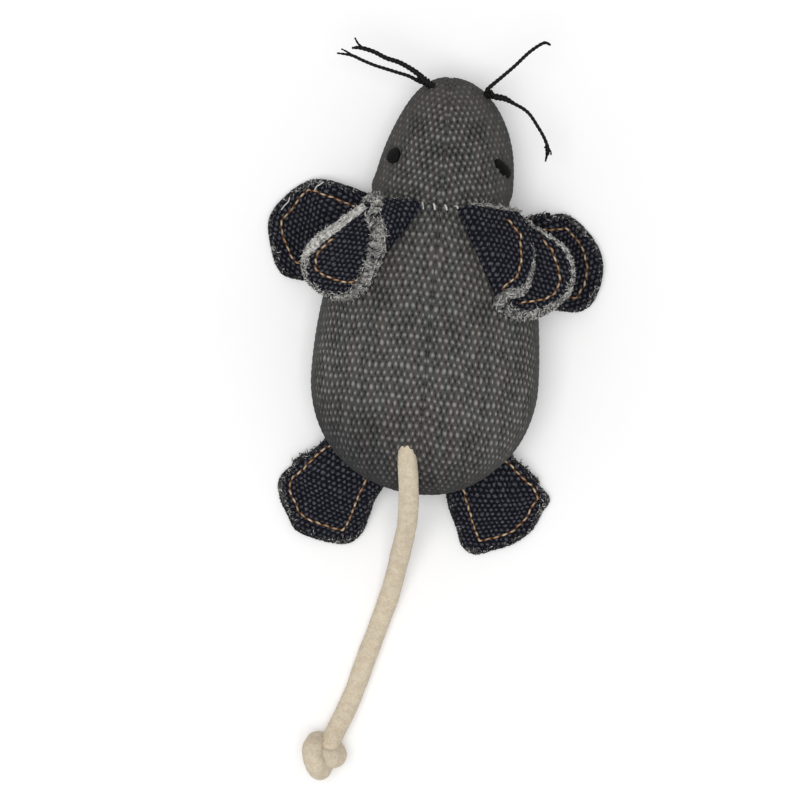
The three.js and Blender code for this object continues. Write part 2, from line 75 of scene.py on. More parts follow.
class Socket:
    """A node's output in a material, on which Python's arithmetic adds Math nodes."""

    def __init__(self, tree, output):
        self.tree = tree
        self.output = output

    def node(self, kind, settings=None, values=None, result=0):
        """Add a node: its settings first, then each input from a number, a colour or a Socket."""
        added = self.tree.nodes.new(kind)
        for name, setting in (settings or {}).items():
            setattr(added, name, setting)
        for name, value in (values or {}).items():
            if isinstance(value, Socket):
                self.tree.links.new(value.output, added.inputs[name])
            else:
                socket = added.inputs[name]
                socket.default_value = (*value, 1) if socket.type == "RGBA" else value
        return Socket(self.tree, added.outputs[result])

    def math(self, operation, *others):
        values = dict(enumerate((self, *others)))
        return self.node("ShaderNodeMath", {"operation": operation}, values)

    def __add__(self, other):
        return self.math("ADD", other)

    __radd__ = __add__

    def __mul__(self, other):
        return self.math("MULTIPLY", other)

    __rmul__ = __mul__

    def __sub__(self, other):
        return self.math("SUBTRACT", other)

    def __rsub__(self, other):
        return self.node("ShaderNodeMath", {"operation": "SUBTRACT"}, {0: other, 1: self})

    def smooth(self, low, high):
        """0 at low and 1 at high, with a smooth step between."""
        settings = {"interpolation_type": "SMOOTHSTEP"}
        return self.node("ShaderNodeMapRange", settings, {"Value": self, "From Min": low, "From Max": high})

    def mix(self, first, second):
        """The first colour where this is 0 and the second where it is 1."""
        return self.node("ShaderNodeMix", {"data_type": "RGBA"}, {0: self, 6: first, 7: second}, result=2)

    def times(self, colour):
        """This colour multiplied by another."""
        settings = {"data_type": "RGBA", "blend_type": "MULTIPLY"}
        return self.node("ShaderNodeMix", settings, {0: 1.0, 6: self, 7: colour}, result=2)

    def part(self, axis):
        """One direction's number of this place."""
        return self.node("ShaderNodeSeparateXYZ", {}, {0: self}, result=axis)

    def noise(self, scale, detail=2.0):
        """Soft noise about 0.5 at this place."""
        return self.node("ShaderNodeTexNoise", {}, {"Vector": self, "Scale": scale, "Detail": detail})

    def stretched(self, scales):
        """This place with each of its directions scaled."""
        return self.node("ShaderNodeVectorMath", {"operation": "MULTIPLY"}, {0: self, 1: scales})

    def feed(self, shader, name):
        self.tree.links.new(self.output, shader.inputs[name])

    def raise_surface(self, shader, depth):
        """Feed the shader's Normal with this height in units of the depth, in metres."""
        self.node("ShaderNodeBump", {}, {"Height": self, "Distance": depth}).feed(shader, "Normal")


def new_finish(name, roughness, coordinates="Object"):
    """A material, its shader, and the place on the surface in the coordinates that are asked for."""
    material = bpy.data.materials.new(name)
    material.use_nodes = True
    tree = material.node_tree
    shader = tree.nodes["Principled BSDF"]
    shader.inputs["Roughness"].default_value = roughness
    shader.inputs["Specular IOR Level"].default_value = cloth_shine
    place = Socket(tree, None).node("ShaderNodeTexCoord", result=coordinates)
    return material, shader, place


def add_piece(name, points, faces, material, cloth=None, slot=None, node=None):
    """A smooth mesh from points in millimetres and a list of face arrays, one array for each corner
    count. The cloth map holds two numbers for each point. The slot is not used, and the node is what
    the piece stands for."""
    mesh = bpy.data.meshes.new(name)
    corners = np.concatenate([group.ravel() for group in faces]).astype(np.int32)
    counts = np.concatenate([np.full(len(group), group.shape[1]) for group in faces]).astype(np.int32)
    mesh.vertices.add(len(points))
    mesh.vertices.foreach_set("co", (points * MM).astype(np.float32).ravel())
    mesh.loops.add(len(corners))
    mesh.loops.foreach_set("vertex_index", corners)
    mesh.polygons.add(len(counts))
    mesh.polygons.foreach_set("loop_start", np.cumsum(counts, dtype=np.int32) - counts)
    mesh.polygons.foreach_set("use_smooth", np.ones(len(counts), dtype=bool))
    mesh.update(calc_edges=True)
    if cloth is not None:
        layer = mesh.uv_layers.new(name="cloth")
        layer.data.foreach_set("uv", cloth[corners].astype(np.float32).ravel())
    mesh.materials.append(material)
    piece = bpy.data.objects.new(name, mesh)
    scene.collection.objects.link(piece)
    if node:
        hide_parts(node)
    return piece


lamp_place = (-0.14, -0.2, 1.57)
lamp_watts = 14
lamp_width = 1.1
world_strength = 0.5
lamp = bpy.data.lights.new("lamp", "AREA")
lamp.energy = lamp_watts
lamp.size = lamp_width
lamp_object = bpy.data.objects.new("lamp", lamp)
lamp_object.location = lamp_place
lamp_object.rotation_euler = (-np.arctan2(lamp_place[1], lamp_place[2]), 0, 0)
lamp_object.rotation_euler.rotate_axis("Y", np.arctan2(lamp_place[0], lamp_place[2]))
scene.collection.objects.link(lamp_object)
scene.world = bpy.data.worlds.new("world")
scene.world.use_nodes = True
background = scene.world.node_tree.nodes["Background"].inputs
background["Color"].default_value = (1, 1, 1, 1)
background["Strength"].default_value = world_strength
floor_half = 1500.0
floor_tone, floor_mottle = 0.93, 0.01
floor_glow = 0.12
floor_finish, floor_shader, floor_place = new_finish("floor_paper", 0.9)
floor_white = floor_place.noise(30.0) * floor_mottle + floor_tone
floor_white.mix((0, 0, 0), (1, 1, 1)).feed(floor_shader, "Base Color")
seen_by_camera = floor_place.node("ShaderNodeLightPath")
(seen_by_camera * floor_glow).mix((0, 0, 0), (1, 1, 1)).feed(floor_shader, "Emission Color")
floor_shader.inputs["Emission Strength"].default_value = 1.0
floor_points = floor_half * np.array([[-1, -1, 0], [1, -1, 0], [1, 1, 0], [-1, 1, 0]])
add_piece("floor", floor_points, [np.array([[0, 1, 2, 3]])], floor_finish)

# Tail: a soft braided cotton cord that ends in an overhand knot. It is sewn into the seam on the rump,
# where it bends when it swings, and it lies down over the rump and along the floor.
tail_route = np.array([
    [-3.9, -27, 34.0], [-3.7, -31, 34.9], [-3.1, -36, 34.6], [-2.4, -41, 33.1], [-1.8, -46, 30.2],
    [-1.5, -51, 26.4], [-1.5, -56, 21.6], [-2.1, -61, 16.2], [-2.9, -66.4, 11.4], [-3.8, -72.4, 7.2],
    [-5, -78.6, 4.4], [-6.6, -84.6, 3.2], [-8.4, -91.2, 3.1], [-10.6, -99, 3.1], [-12.8, -107.4, 3.1],
    [-15.1, -114.2, 3.8], [-17.3, -119.6, 5],
])
tail_diameter = 6.1
tail_step = 0.4
braid_columns = 12
braid_pitch = 1.7
braid_depth = 0.09


def unit(vectors):
    """The vectors at length 1."""
    return vectors / np.maximum(np.linalg.norm(vectors, axis=-1, keepdims=True), 1e-12)


def lengths_along(points):
    """How far along the line each of its points lies."""
    return np.concatenate([[0], np.cumsum(np.linalg.norm(np.diff(points, axis=0), axis=1))])


def smooth_through(points, place):
    """Places on a smooth curve, counted in its points: between two points it is a cubic whose slope at
    each of them is half the way from the point before to the point after."""
    slopes = np.gradient(points, axis=0)
    first = np.clip(np.floor(place).astype(int), 0, len(points) - 2)
    share = (place - first)[..., None]
    turn = share**2 * (3 - 2 * share)
    swing = share * (1 - share) * (slopes[first] * (1 - share) - slopes[first + 1] * share)
    return points[first] + (points[first + 1] - points[first]) * turn + swing


def read_at(at, reach, points):
    """Whatever the points of a line hold, read at other distances along it than their own."""
    return np.stack([np.interp(at, reach, column) for column in points.T], axis=-1)


def curve_through(points, step):
    """Even points on the smooth curve, and whatever else each point holds after its place."""
    dense = smooth_through(points, np.linspace(0, len(points) - 1, 40 * len(points)))
    reach = lengths_along(dense[:, :3])
    return read_at(np.linspace(0, reach[-1], int(round(reach[-1] / step)) + 1), reach, dense)


def tubes(centres, lifts, radii, sides):
    """Closed tubes, one for each row of centres. A ring stands square to the run at each centre, its
    points at the radius times the cosine of the turn along the lift and the sine across it."""
    runs = unit(np.gradient(centres, axis=1))
    across = unit(np.cross(runs, lifts))
    lifts = np.cross(across, runs)
    turns = np.arange(sides) * 2 * np.pi / sides
    rings = np.cos(turns)[:, None] * lifts[..., None, :] + np.sin(turns)[:, None] * across[..., None, :]
    points = centres[..., None, :] + radii[..., None] * rings
    number = np.arange(centres.shape[0] * centres.shape[1] * sides).reshape(*centres.shape[:2], sides)
    after = np.roll(number, -1, axis=2)
    walls = np.stack([number[:, :-1], after[:, :-1], after[:, 1:], number[:, 1:]], axis=-1).reshape(-1, 4)
    caps = np.concatenate([number[:, 0, ::-1], number[:, -1]])
    return points.reshape(-1, 3), [walls, caps]


def carried_lifts(centres, first):
    """A direction square to the run at each centre, carried from ring to ring without twist."""
    runs = unit(np.gradient(centres, axis=0))
    lifts = [unit(first - runs[0] * (first @ runs[0]))]
    for run in runs[1:]:
        lifts.append(unit(lifts[-1] - run * (lifts[-1] @ run)))
    return np.array(lifts)


def braided(centres, lifts, thickness):
    """A braided cord: columns of slanting stitches round it, where a stitch rises as the cosine of its
    place along the cord plus its distance from the middle of the column. A high power of the cosine
    sinks grooves between the columns, and slow sines make the thickness waver."""
    sides = 4 * braid_columns
    turn_share = np.arange(sides) / sides * braid_columns
    along = lengths_along(centres)[:, None]
    from_middle = np.abs(turn_share % 1 - 0.5)
    rise = 0.5 + 0.5 * np.cos(2 * np.pi * (along / braid_pitch + from_middle))
    groove = 1 - 0.6 * np.cos(2 * np.pi * turn_share) ** 8
    waver = 0.05 * np.sin(along / 3.1) + 0.04 * np.sin(along / 1.3 + turn_share)
    radii = thickness[:, None] - braid_depth + braid_depth * rise * groove + waver
    return tubes(centres[None], lifts[None], radii[None], sides)


cotton, cotton_shader, cotton_place = new_finish("tail_cotton", 0.92)
cotton_pale = (0.725, 0.63, 0.48)
cotton_dull = (0.585, 0.49, 0.365)
cotton_fibre = cotton_place.noise(1500.0, 3.0)
cotton_tone = (cotton_fibre * 0.5 + cotton_place.noise(420.0, 3.0) * 0.5).smooth(0.36, 0.64)
cotton_tone.mix(cotton_dull, cotton_pale).feed(cotton_shader, "Base Color")
cotton_fibre.raise_surface(cotton_shader, 0.00012)
cotton_shader.inputs["Sheen Weight"].default_value = 0.2

tail_centres = curve_through(tail_route, tail_step)
knot_cord_diameter = 6.0
knot_packing_diameter = 3.9
neck_of_knot = 5.0
tail_length = lengths_along(tail_centres)
narrowing = np.clip((tail_length - tail_length[-1] + neck_of_knot) / neck_of_knot, 0, 1)
tail_thickness = (tail_diameter + (knot_cord_diameter - tail_diameter) * narrowing) / 2
root_share, root_run = 0.6, 11.0
tail_thickness *= root_share + (1 - root_share) * np.clip(tail_length / root_run, 0, 1) ** 0.7
tail_lifts = carried_lifts(tail_centres, np.array([0, 0, 1.0]))
tail_braid = braided(tail_centres, tail_lifts, tail_thickness)
tail = add_piece("cotton_tail", *tail_braid, cotton, slot="tail_cotton", node="tail_cord")


def tighten(diameter, spacing, pulls):
    """The points of a cord after an overhand knot in it is pulled tight. The open knot is a curve of a
    fifth, a third and a fourth power. Each pull moves the ends out, smooths every bend, brings
    neighbours back to their spacing and pushes apart what is nearer than the diameter."""
    t = np.linspace(-2.25, 2.25, 400)
    loose = np.column_stack([1.6 * (t**5 / 5 - 2 * t), 2.6 * (t**3 - 3 * t), 1.5 * (t**4 - 4 * t**2)])
    loose *= diameter / 4
    reach = lengths_along(loose)
    cord = read_at(np.linspace(0, reach[-1], int(reach[-1] / spacing)), reach, loose)
    first, second = np.triu_indices(len(cord), k=int(np.ceil(1.25 * diameter / spacing)))
    pull = np.array([0.1 * spacing, 0, 0])
    for _ in range(pulls):
        cord[0] -= pull
        cord[-1] += pull
        cord[[0, -1], 1:] *= 0.9
        cord[1:-1] += 0.12 * (cord[:-2] - 2 * cord[1:-1] + cord[2:])
        for _ in range(6):
            for start in (0, 1):
                after = cord[start + 1::2]
                before = cord[start::2][:len(after)]
                gap = after - before
                length = np.linalg.norm(gap, axis=1, keepdims=True)
                correction = 0.5 * (length - spacing) * gap / length
                before += correction
                after -= correction
            apart = cord[second] - cord[first]
            distance = np.linalg.norm(apart, axis=1)
            near = distance < diameter
            push = (0.4 * (diameter - distance[near]) / distance[near])[:, None] * apart[near]
            np.add.at(cord, first[near], -push)
            np.add.at(cord, second[near], push)
    return cord


knot_pulls = 700
knot_spacing = knot_packing_diameter * 0.214
knot_middle = np.array([-21.9, -126.1, 0])
knot_entry, knot_end = 4.2, 5.0
knot_turn, knot_roll = np.radians([-25, 85])
knot_cord = tighten(knot_packing_diameter, knot_spacing, knot_pulls)
tail_heading = unit((tail_route[-1] - tail_route[-2]) * [1, 1, 0])
knot_way = np.arctan2(tail_heading[1], tail_heading[0]) + knot_turn
knot_heading, knot_side, knot_up = np.array([[np.cos(knot_way), np.sin(knot_way), 0],
                                             [-np.sin(knot_way), np.cos(knot_way), 0], [0, 0, 1]])
knot_axes = np.stack([knot_heading, knot_side * np.cos(knot_roll) + knot_up * np.sin(knot_roll),
                      knot_up * np.cos(knot_roll) - knot_side * np.sin(knot_roll)])
knot_first = np.argmax(knot_cord[:, 0] > -knot_entry)
knot_last = len(knot_cord) - np.argmax(knot_cord[::-1, 0] < knot_end)
knot_points = knot_middle + knot_cord[knot_first:knot_last] @ knot_axes
knot_points[:, 2] += knot_cord_diameter / 2 + braid_depth - knot_points[:, 2].min()
knot_centres = curve_through(np.concatenate([tail_centres[[-10, -4]], knot_points[1::2]]), tail_step)
knot_lifts = carried_lifts(knot_centres, tail_lifts[-1])
knot_thickness = np.full(len(knot_centres), knot_cord_diameter / 2)
knot_braid = braided(knot_centres, knot_lifts, knot_thickness)
knot = add_piece("cotton_knot", *knot_braid, cotton, slot="tail_cotton", node="tail_knot")
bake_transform(tail)
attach(knot, "tail")

# Torso skin: panels of coarse grey canvas, two on the back, two on the head and one under the belly,
# sewn edge to edge with the seams turned in. The filling swells them. The weave is in the mesh: each
# thread that comes to the face is a low dome, and the cloth map counts threads, so the finish follows
# the same weave.
widest_y = -12.0
rump_reach = 34.4
neck_reach = 52.5
body_front_reach = 66.0
neck_blend = 3.5
cheek_reach = 5.5
head_reach = 33.0
rump_y = widest_y - rump_reach
neck_y = widest_y + neck_reach
cheek_y = neck_y + cheek_reach
nose_y = cheek_y + head_reach
left_cheek_draw, left_cheek_start = 0.2, 0.05
taut_heights = (21.0, 30.0)
body_half, body_rise, body_drop, body_axis = 34.3, 26.5, 16.5, 16.0
head_half, head_rise, head_drop, head_axis = 21.4, 16.2, 13.0, 15.0
round_power, nose_power, belly_power, underside_power = 2.0, 2.15, 3.0, 2.6
belly_seam_angle = np.radians(115)
canvas_thickness = 1.1
weave_depth, taut_share = 0.36, 0.35
ridge_sink, neck_sink, belly_sink = 0.35, 0.5, 0.85
first_groove, last_groove, neck_groove = 0.6, 0.9, 0.8
seam_stitch = 2.8
seam_pucker, pucker_reach = 0.07, 2.2


def smoothstep(value, low, high):
    """0 at low, 1 at high, level at both."""
    share = np.clip((value - low) / (high - low), 0, 1)
    return share * share * (3 - 2 * share)


def blend(first, second, share):
    """The first value where the share is 0 and the second where it is 1."""
    return first + (second - first) * share


def swell(share, power):
    """1 at a form's widest place and 0 at its tip, on a curve that is an ellipse at power 2."""
    return np.maximum(0, 1 - np.minimum(share, 1) ** power) ** (1 / power)


def section(y):
    """The torso's half width, rise and drop from its widest line, and that line's height, at a place
    along it. Body and head are each swollen lengths, and one turns into the other over the neck."""
    body = np.where(y < widest_y, (widest_y - y) / rump_reach, (y - widest_y) / body_front_reach)
    head = np.maximum(0, (y - cheek_y) / head_reach)
    share = smoothstep(y, neck_y - neck_blend, cheek_y)
    full = swell(head, nose_power)
    return (
        blend(body_half * swell(body, round_power), head_half * full, share),
        blend(body_rise * swell(body, round_power), head_rise * full, share),
        blend(body_drop * swell(body, belly_power), head_drop * full, share),
        blend(body_axis, head_axis, share),
    )


def skin_point(angle, y):
    """The skin at an angle from the ridge and a place along the toy: an ellipse over the widest line,
    and under it a squarer curve, whose sine and cosine are raised to 2 over the underside power. The
    left cheek is drawn in evenly towards the nose."""
    half, rise, drop, axis = section(y)
    across, up = np.sin(angle), np.cos(angle)
    draw = left_cheek_start * smoothstep(y, neck_y, cheek_y + 4)
    draw = draw + left_cheek_draw * np.clip((y - cheek_y) / head_reach, 0, 1)
    half = half * np.where(across < 0, 1 - draw, 1)
    low = 2 / underside_power
    x = half * np.where(up >= 0, across, np.sign(across) * np.abs(across) ** low)
    z = axis + np.where(up >= 0, rise * up, -drop * np.abs(up) ** low)
    return np.stack(np.broadcast_arrays(x, y, z), axis=-1)


def skin_normal(angle, y):
    """The direction out of the skin, square to its slopes round the toy and along it."""
    probe = 0.004
    around = skin_point(angle + probe, y) - skin_point(angle - probe, y)
    y_in = np.clip(y, rump_y + 0.2, nose_y - 0.2)
    along = skin_point(angle, y_in + 0.1) - skin_point(angle, y_in - 0.1)
    return unit(np.cross(around, along))


def even_stations(first, last, step):
    """Places along the toy that lie even steps apart over the ridge of the back."""
    share = np.linspace(0, np.pi, 2000)
    y = blend(first, last, 0.5 - 0.5 * np.cos(share))
    reach = lengths_along(skin_point(np.zeros_like(y), y))
    even = np.linspace(0, reach[-1], 4 * int(round(reach[-1] / step / 4)) + 1)
    return np.interp(even, reach, y), even


lump_draw = np.random.default_rng(3)
lump_heading = unit(lump_draw.normal(size=(9, 3)))
lump_wave = lump_draw.uniform(2.6, 6.5, 9)
lump_start = lump_draw.uniform(0, 2 * np.pi, 9)
lump_rise = 0.04 * lump_wave


def lumps(points):
    """How far the uneven filling pushes the skin out: a sum of nine slow waves in set directions."""
    return np.sin((points @ lump_heading.T) / lump_wave + lump_start) @ lump_rise / 2


def weave_field(threads):
    """A plain weave at a place counted in threads: the sine across times the sine along, less a third
    of the cosine of twice the place along. It is 1.35 at the middle of each thread that lies over, and
    -0.65 in the pit between two of them."""
    over = np.sin(np.pi * threads[..., 0]) * np.sin(np.pi * threads[..., 1])
    return over - 0.35 * np.cos(2 * np.pi * threads[..., 1])


def wandering(threads):
    """Threads as they lie in real cloth: slow waves shift each by up to a quarter of its pitch."""
    across, along = threads[..., 0], threads[..., 1]
    across_shift = 0.16 * np.sin(0.83 * along + 2.3 * np.sin(0.29 * across)) + 0.09 * np.sin(2.9 * across)
    along_shift = 0.13 * np.sin(0.47 * across + 1.9 * np.sin(0.21 * along)) + 0.07 * np.sin(2.3 * along)
    return np.stack([across + across_shift, along + along_shift], axis=-1)


def grid_cells(number):
    """Four-cornered faces between neighbours on a grid of point numbers."""
    corners = (number[:-1, :-1], number[:-1, 1:], number[1:, 1:], number[1:, :-1])
    return np.stack(corners, axis=-1).reshape(-1, 4)


def round_edge(number):
    """The point numbers in turn round the edge of a grid."""
    return np.concatenate([number[0, :-1], number[:-1, -1], number[-1, :0:-1], number[:0:-1, 0]])


def add_cloth(name, front, back, threads, material, slot, node):
    """A closed sheet of cloth from the fine grid of its face and the coarse grid of its back, which
    holds every fourth point. Triangles round the rim join the two."""
    fine = np.arange(front.shape[0] * front.shape[1]).reshape(front.shape[:2])
    coarse = fine.size + np.arange(back.shape[0] * back.shape[1]).reshape(back.shape[:2])
    rim, hem = round_edge(fine), round_edge(coarse)
    near = hem[((np.arange(len(rim)) + 2) // 4) % len(hem)]
    middle = rim[np.arange(len(hem)) * 4 + 2]
    triangles = np.concatenate([
        np.stack([np.roll(rim, -1), rim, near], axis=1),
        np.stack([middle, hem, np.roll(hem, -1)], axis=1),
    ])
    faces = [grid_cells(fine), grid_cells(coarse)[:, ::-1], triangles]
    corner = front[::4, ::4]
    turn = np.cross(corner[:-1, 1:] - corner[:-1, :-1], corner[1:, :-1] - corner[:-1, :-1])
    if np.sum(turn * (corner - back)[:-1, :-1]) < 0:
        faces = [group[:, ::-1] for group in faces]
    points = np.concatenate([front.reshape(-1, 3), back.reshape(-1, 3)])
    cloth = np.concatenate([threads.reshape(-1, 2), threads[::4, ::4].reshape(-1, 2)])
    return add_piece(name, points, faces, material, cloth, slot, node)


def add_panel(name, angles, ends, steps, weave, sinks, material):
    """A panel of the skin between two angles from the ridge and two places along it. The weave gives
    the slant of its columns and of its rows, and the pitch of each. The skin sinks by a bell curve at
    the seams and puckers by a cosine beside them, and its weave is shallower low on the taut sides."""
    stations, along = even_stations(*ends, steps[1])
    columns = 4 * int(round(np.ptp(angles) * 30 / steps[0] / 4))
    angle = np.linspace(*angles, columns + 1)
    place = skin_point(angle[None], stations[:, None])
    normal = skin_normal(angle[None], stations[:, None])
    across = np.linalg.norm(np.diff(place, axis=1), axis=-1)
    across = np.concatenate([np.zeros((len(place), 1)), np.cumsum(across, axis=1)], axis=1)
    forward = (along - np.interp(widest_y, stations, along))[:, None]
    column_slant, row_slant, column_pitch, row_pitch = weave
    threads = wandering(np.stack([
        (across + forward * column_slant) / column_pitch,
        (forward + across * row_slant) / row_pitch,
    ], axis=-1))
    first, last = across, across[:, -1:] - across
    neck = np.abs(place[..., 1] - neck_y) if neck_y in ends else np.full(across.shape, 99.0)
    nearest = np.minimum(np.minimum(first, last), neck)
    sink = sinks[0] * np.exp(-(first / first_groove) ** 2) + sinks[1] * np.exp(-(last / last_groove) ** 2)
    sink += neck_sink * np.exp(-(neck / neck_groove) ** 2)
    pucker = seam_pucker * np.cos(2 * np.pi * forward / seam_stitch)
    sink += pucker * np.exp(-nearest / pucker_reach) * smoothstep(nearest, 0, 1)
    proud = weave_depth * blend(taut_share, 1, smoothstep(place[..., 2], *taut_heights))
    rise = proud * smoothstep(weave_field(threads), -0.65, 1.2) * smoothstep(nearest, 0, 0.6)
    rise += lumps(place) * smoothstep(nearest, 0, 6)
    face = place + normal * (rise - sink)[..., None]
    lining = (place - normal * (canvas_thickness + sink)[..., None])[::4, ::4]
    for surface in (face, lining):
        surface[..., 2] = np.maximum(surface[..., 2], 0)
    panel = add_cloth(name.replace("panel", "canvas"), face, lining, threads, material, "canvas", name)
    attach(panel, "torso")


def weave_tones(cloth, relief, roughen, fuzz):
    """The weave's height at a place of the cloth map, and its fibres: weave_field's height by the
    relief, roughened by chance for each thread that lies over, and by the fuzz of the fibres."""
    x, y = cloth.part("X"), cloth.part("Y")
    field = (x * np.pi).math("SINE") * (y * np.pi).math("SINE") - (y * (2 * np.pi)).math("COSINE") * 0.35
    first, second = ((x + y) * 0.5).math("FLOOR"), ((x - y) * 0.5 + 0.5).math("FLOOR")
    knuckle = cloth.node("ShaderNodeCombineXYZ", {}, {"X": first, "Y": second})
    chance = knuckle.node("ShaderNodeTexWhiteNoise", {"noise_dimensions": "2D"}, {"Vector": knuckle})
    fibre = cloth.stretched((2.2, 1.5, 1.0)).noise(1.3, 3.0)
    return field * relief + (chance - 0.5) * roughen + (fibre - 0.5) * fuzz, fibre


def canvas_finish(name, bright, middle, dark):
    """Plain-weave canvas: pale where a thread lies over, duller beside it, and painted dark in the pits as
    shade, with threads of uneven tone, some browner and some greener. Low on the sides the cloth is
    taut, and its threads even out. Painted shade darkens the rump towards its end, most on the left."""
    material, shader, cloth = new_finish(name, 0.95, "UV")
    place = cloth.node("ShaderNodeTexCoord", result="Object")
    swollen = place.part("Z").smooth(taut_heights[0] * MM, taut_heights[1] * MM)
    tone, fibre = weave_tones(cloth, swollen * 0.6 + 0.4, 0.6, 1.5)
    patch = cloth.stretched((0.12, 0.06, 1.0)).noise(1.0, 3.0)
    tone = tone + (patch - 0.5) * 0.5
    # Painted shade: the pits between the threads take the dark tone.
    ground = tone.smooth(-0.85, -0.25).mix(dark, middle)
    colour = tone.smooth(0.15, 1.5).mix(ground, bright)
    hue = cloth.stretched((0.35, 0.05, 1.0)).noise(1.0, 1.0).smooth(0.42, 0.62)
    tint = hue.mix((0.97, 1.0, 0.975), (1.06, 0.99, 0.965))
    # Painted shade: the canvas is darker towards the rump's end, most on its left.
    rump_shade = (place.part("Y") + place.part("X") * 0.4).smooth(-46 * MM, -18 * MM)
    depth = rump_shade.mix((0.54, 0.55, 0.585), (1, 1, 1))
    colour.times(tint).times(depth).feed(shader, "Base Color")
    fibre.raise_surface(shader, 0.00012)
    return material


# Tones of each canvas: the threads that lie over, those beside them, and the painted shade in the pits.
canvas_tones = {
    "body_canvas": ((0.27, 0.267, 0.257), (0.083, 0.082, 0.079), (0.026, 0.026, 0.025)),
    "head_canvas": ((0.25, 0.247, 0.239), (0.072, 0.071, 0.069), (0.02, 0.02, 0.019)),
}
body_canvas, head_canvas = (canvas_finish(name, *tones) for name, tones in canvas_tones.items())
left_weave, right_weave, head_weave = (0, 0, 0.96, 2.22), (0, 0.13, 0.96, 2.22), (0.25, -0.25, 0.96, 1.97)
back_ends, head_ends = (rump_y, neck_y), (neck_y, nose_y)
for part, ends, steps, weaves, canvas in (
    ("back", back_ends, (0.25, 0.34), (left_weave, right_weave), body_canvas),
    ("head", head_ends, (0.2, 0.3), (head_weave, head_weave), head_canvas),
):
    for hand, side, weave in zip(("left", "right"), (-1, 1), weaves):
        angles = (0, side * belly_seam_angle)
        add_panel(f"{part}_{hand}_panel", angles, ends, steps, weave, (ridge_sink, belly_sink), canvas)
belly_angles = (belly_seam_angle, 2 * np.pi - belly_seam_angle)
belly_sinks = (belly_sink, belly_sink)
add_panel("belly_panel", belly_angles, (rump_y, nose_y), (0.5, 0.5), left_weave, belly_sinks, body_canvas)

# Filling: loose white polyester fibre in the body and in the head, pushed in by the handful.
filling_depth = 2.6
filling_end = 3
filling, filling_shader, filling_place = new_finish("stuffing", 1.0)
filling_tone = filling_place.noise(350.0, 4.0).smooth(0.3, 0.7)
filling_tone.mix((0.7, 0.68, 0.64), (0.88, 0.87, 0.84)).feed(filling_shader, "Base Color")
filling_place.noise(1400.0, 4.0).raise_surface(filling_shader, 0.0006)


def add_filling(name, ends):
    """A closed lumpy mass: the skin's own form at the filling's depth, less wandering lumps."""
    y = np.linspace(ends[0] + filling_end, ends[1] - filling_end, 60)[:, None]
    angle = np.linspace(0, 2 * np.pi, 72, endpoint=False)[None]
    points = skin_point(angle, y)
    points -= skin_normal(angle, y) * (filling_depth + np.abs(lumps(points * 2.5)))[..., None]
    number = np.arange(points.shape[0] * points.shape[1]).reshape(points.shape[:2])
    closed = np.concatenate([number, number[:, :1]], axis=1)
    faces = [grid_cells(closed), np.stack([number[0, ::-1], number[-1]])]
    mass = add_piece(name.replace("stuffing", "filling"), points.reshape(-1, 3), faces, filling,
                     slot="stuffing", node=name)
    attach(mass, "torso")


add_filling("body_stuffing", back_ends)
add_filling("head_stuffing", head_ends)

# Seams: dark grey thread in lockstitch along the back, the head, the neck and both edges of the belly.
# The stitches lie low in the groove where two panels meet.
seam_thickness = 0.5


def thread_finish(name, roughness, coordinates, scale, dark, light):
    """Thread whose tone goes from dark to light over soft noise."""
    material, shader, place = new_finish(name, roughness, coordinates)
    place.noise(scale).mix(dark, light).feed(shader, "Base Color")
    return material


seam_grey = thread_finish("seam_thread", 0.9, "UV", 9.0, (0.03, 0.03, 0.03), (0.075, 0.073, 0.07))


def add_stitches(name, line, lifts, pitch, thickness, heights, material, draw=None, fill=0.96, slant=0.0):
    """A row of stitches along a line. Each leaves the cloth, runs over it and goes back in: its height
    goes from the first to the second on a root of the sine, and its two twisted plies swell it by
    turns. It fills its share of the pitch, and crosses the line by its slant."""
    reach = lengths_along(line)
    count = max(1, int(round(reach[-1] / pitch)))
    share = np.linspace(0, 1, 9)
    at = (np.arange(count)[:, None] + 0.5 + (share - 0.5) * fill) * reach[-1] / count
    lift = unit(read_at(at, reach, lifts))
    centres = read_at(at, reach, line) + lift * blend(*heights, np.sin(np.pi * share) ** 0.6)[:, None]
    sway = slant * (share - 0.5)[:, None] * np.ones((count, 1, 1))
    if draw is not None:
        sway = sway + draw.normal(0, 0.3, (count, 1, 1)) * (share - 0.5)[:, None]
        sway = sway + draw.normal(0, 0.1, (count, 1, 1)) * np.sin(np.pi * share)[:, None]
    centres = centres + sway * unit(np.cross(np.gradient(centres, axis=1), lift))
    turns = np.arange(6) * np.pi / 3
    twist = at[..., None] * 2.4
    radii = thickness / 2 * (0.86 + 0.2 * np.abs(np.cos(turns + twist)))
    points, faces = tubes(centres, lift, radii, 6)
    tone = np.broadcast_to(np.linspace(0, 1, count)[:, None, None] * 37.7, (count, 9, 6))
    cloth = np.stack([np.broadcast_to(share[:, None], (count, 9, 6)), tone], axis=-1)
    return add_piece(name, points, faces, material, cloth.reshape(-1, 2))


def add_seam(node, angle, y, sink, **stitch):
    """Stitches in the groove along angles from the ridge and places along the toy."""
    normal = skin_normal(angle, y)
    row = add_stitches(node + "_stitches", skin_point(angle, y) - normal * sink, normal, **stitch)
    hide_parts(node)
    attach(row, "torso")


lockstitch = {
    "pitch": seam_stitch, "thickness": seam_thickness, "heights": (-0.45, -0.1), "material": seam_grey,
}
for node, angle, start, end, count, sink in (
    ("back_seam_thread", 0, rump_y + 1, neck_y - 1, 300, ridge_sink),
    ("head_seam_thread", 0, neck_y + 1, nose_y - 1, 200, ridge_sink),
    ("belly_seam_left_thread", -belly_seam_angle, rump_y + 1.5, nose_y - 1.5, 400, belly_sink),
    ("belly_seam_right_thread", belly_seam_angle, rump_y + 1.5, nose_y - 1.5, 400, belly_sink),
):
    seam_y = np.linspace(start, end, count)
    add_seam(node, np.full_like(seam_y, angle), seam_y, sink, **lockstitch)

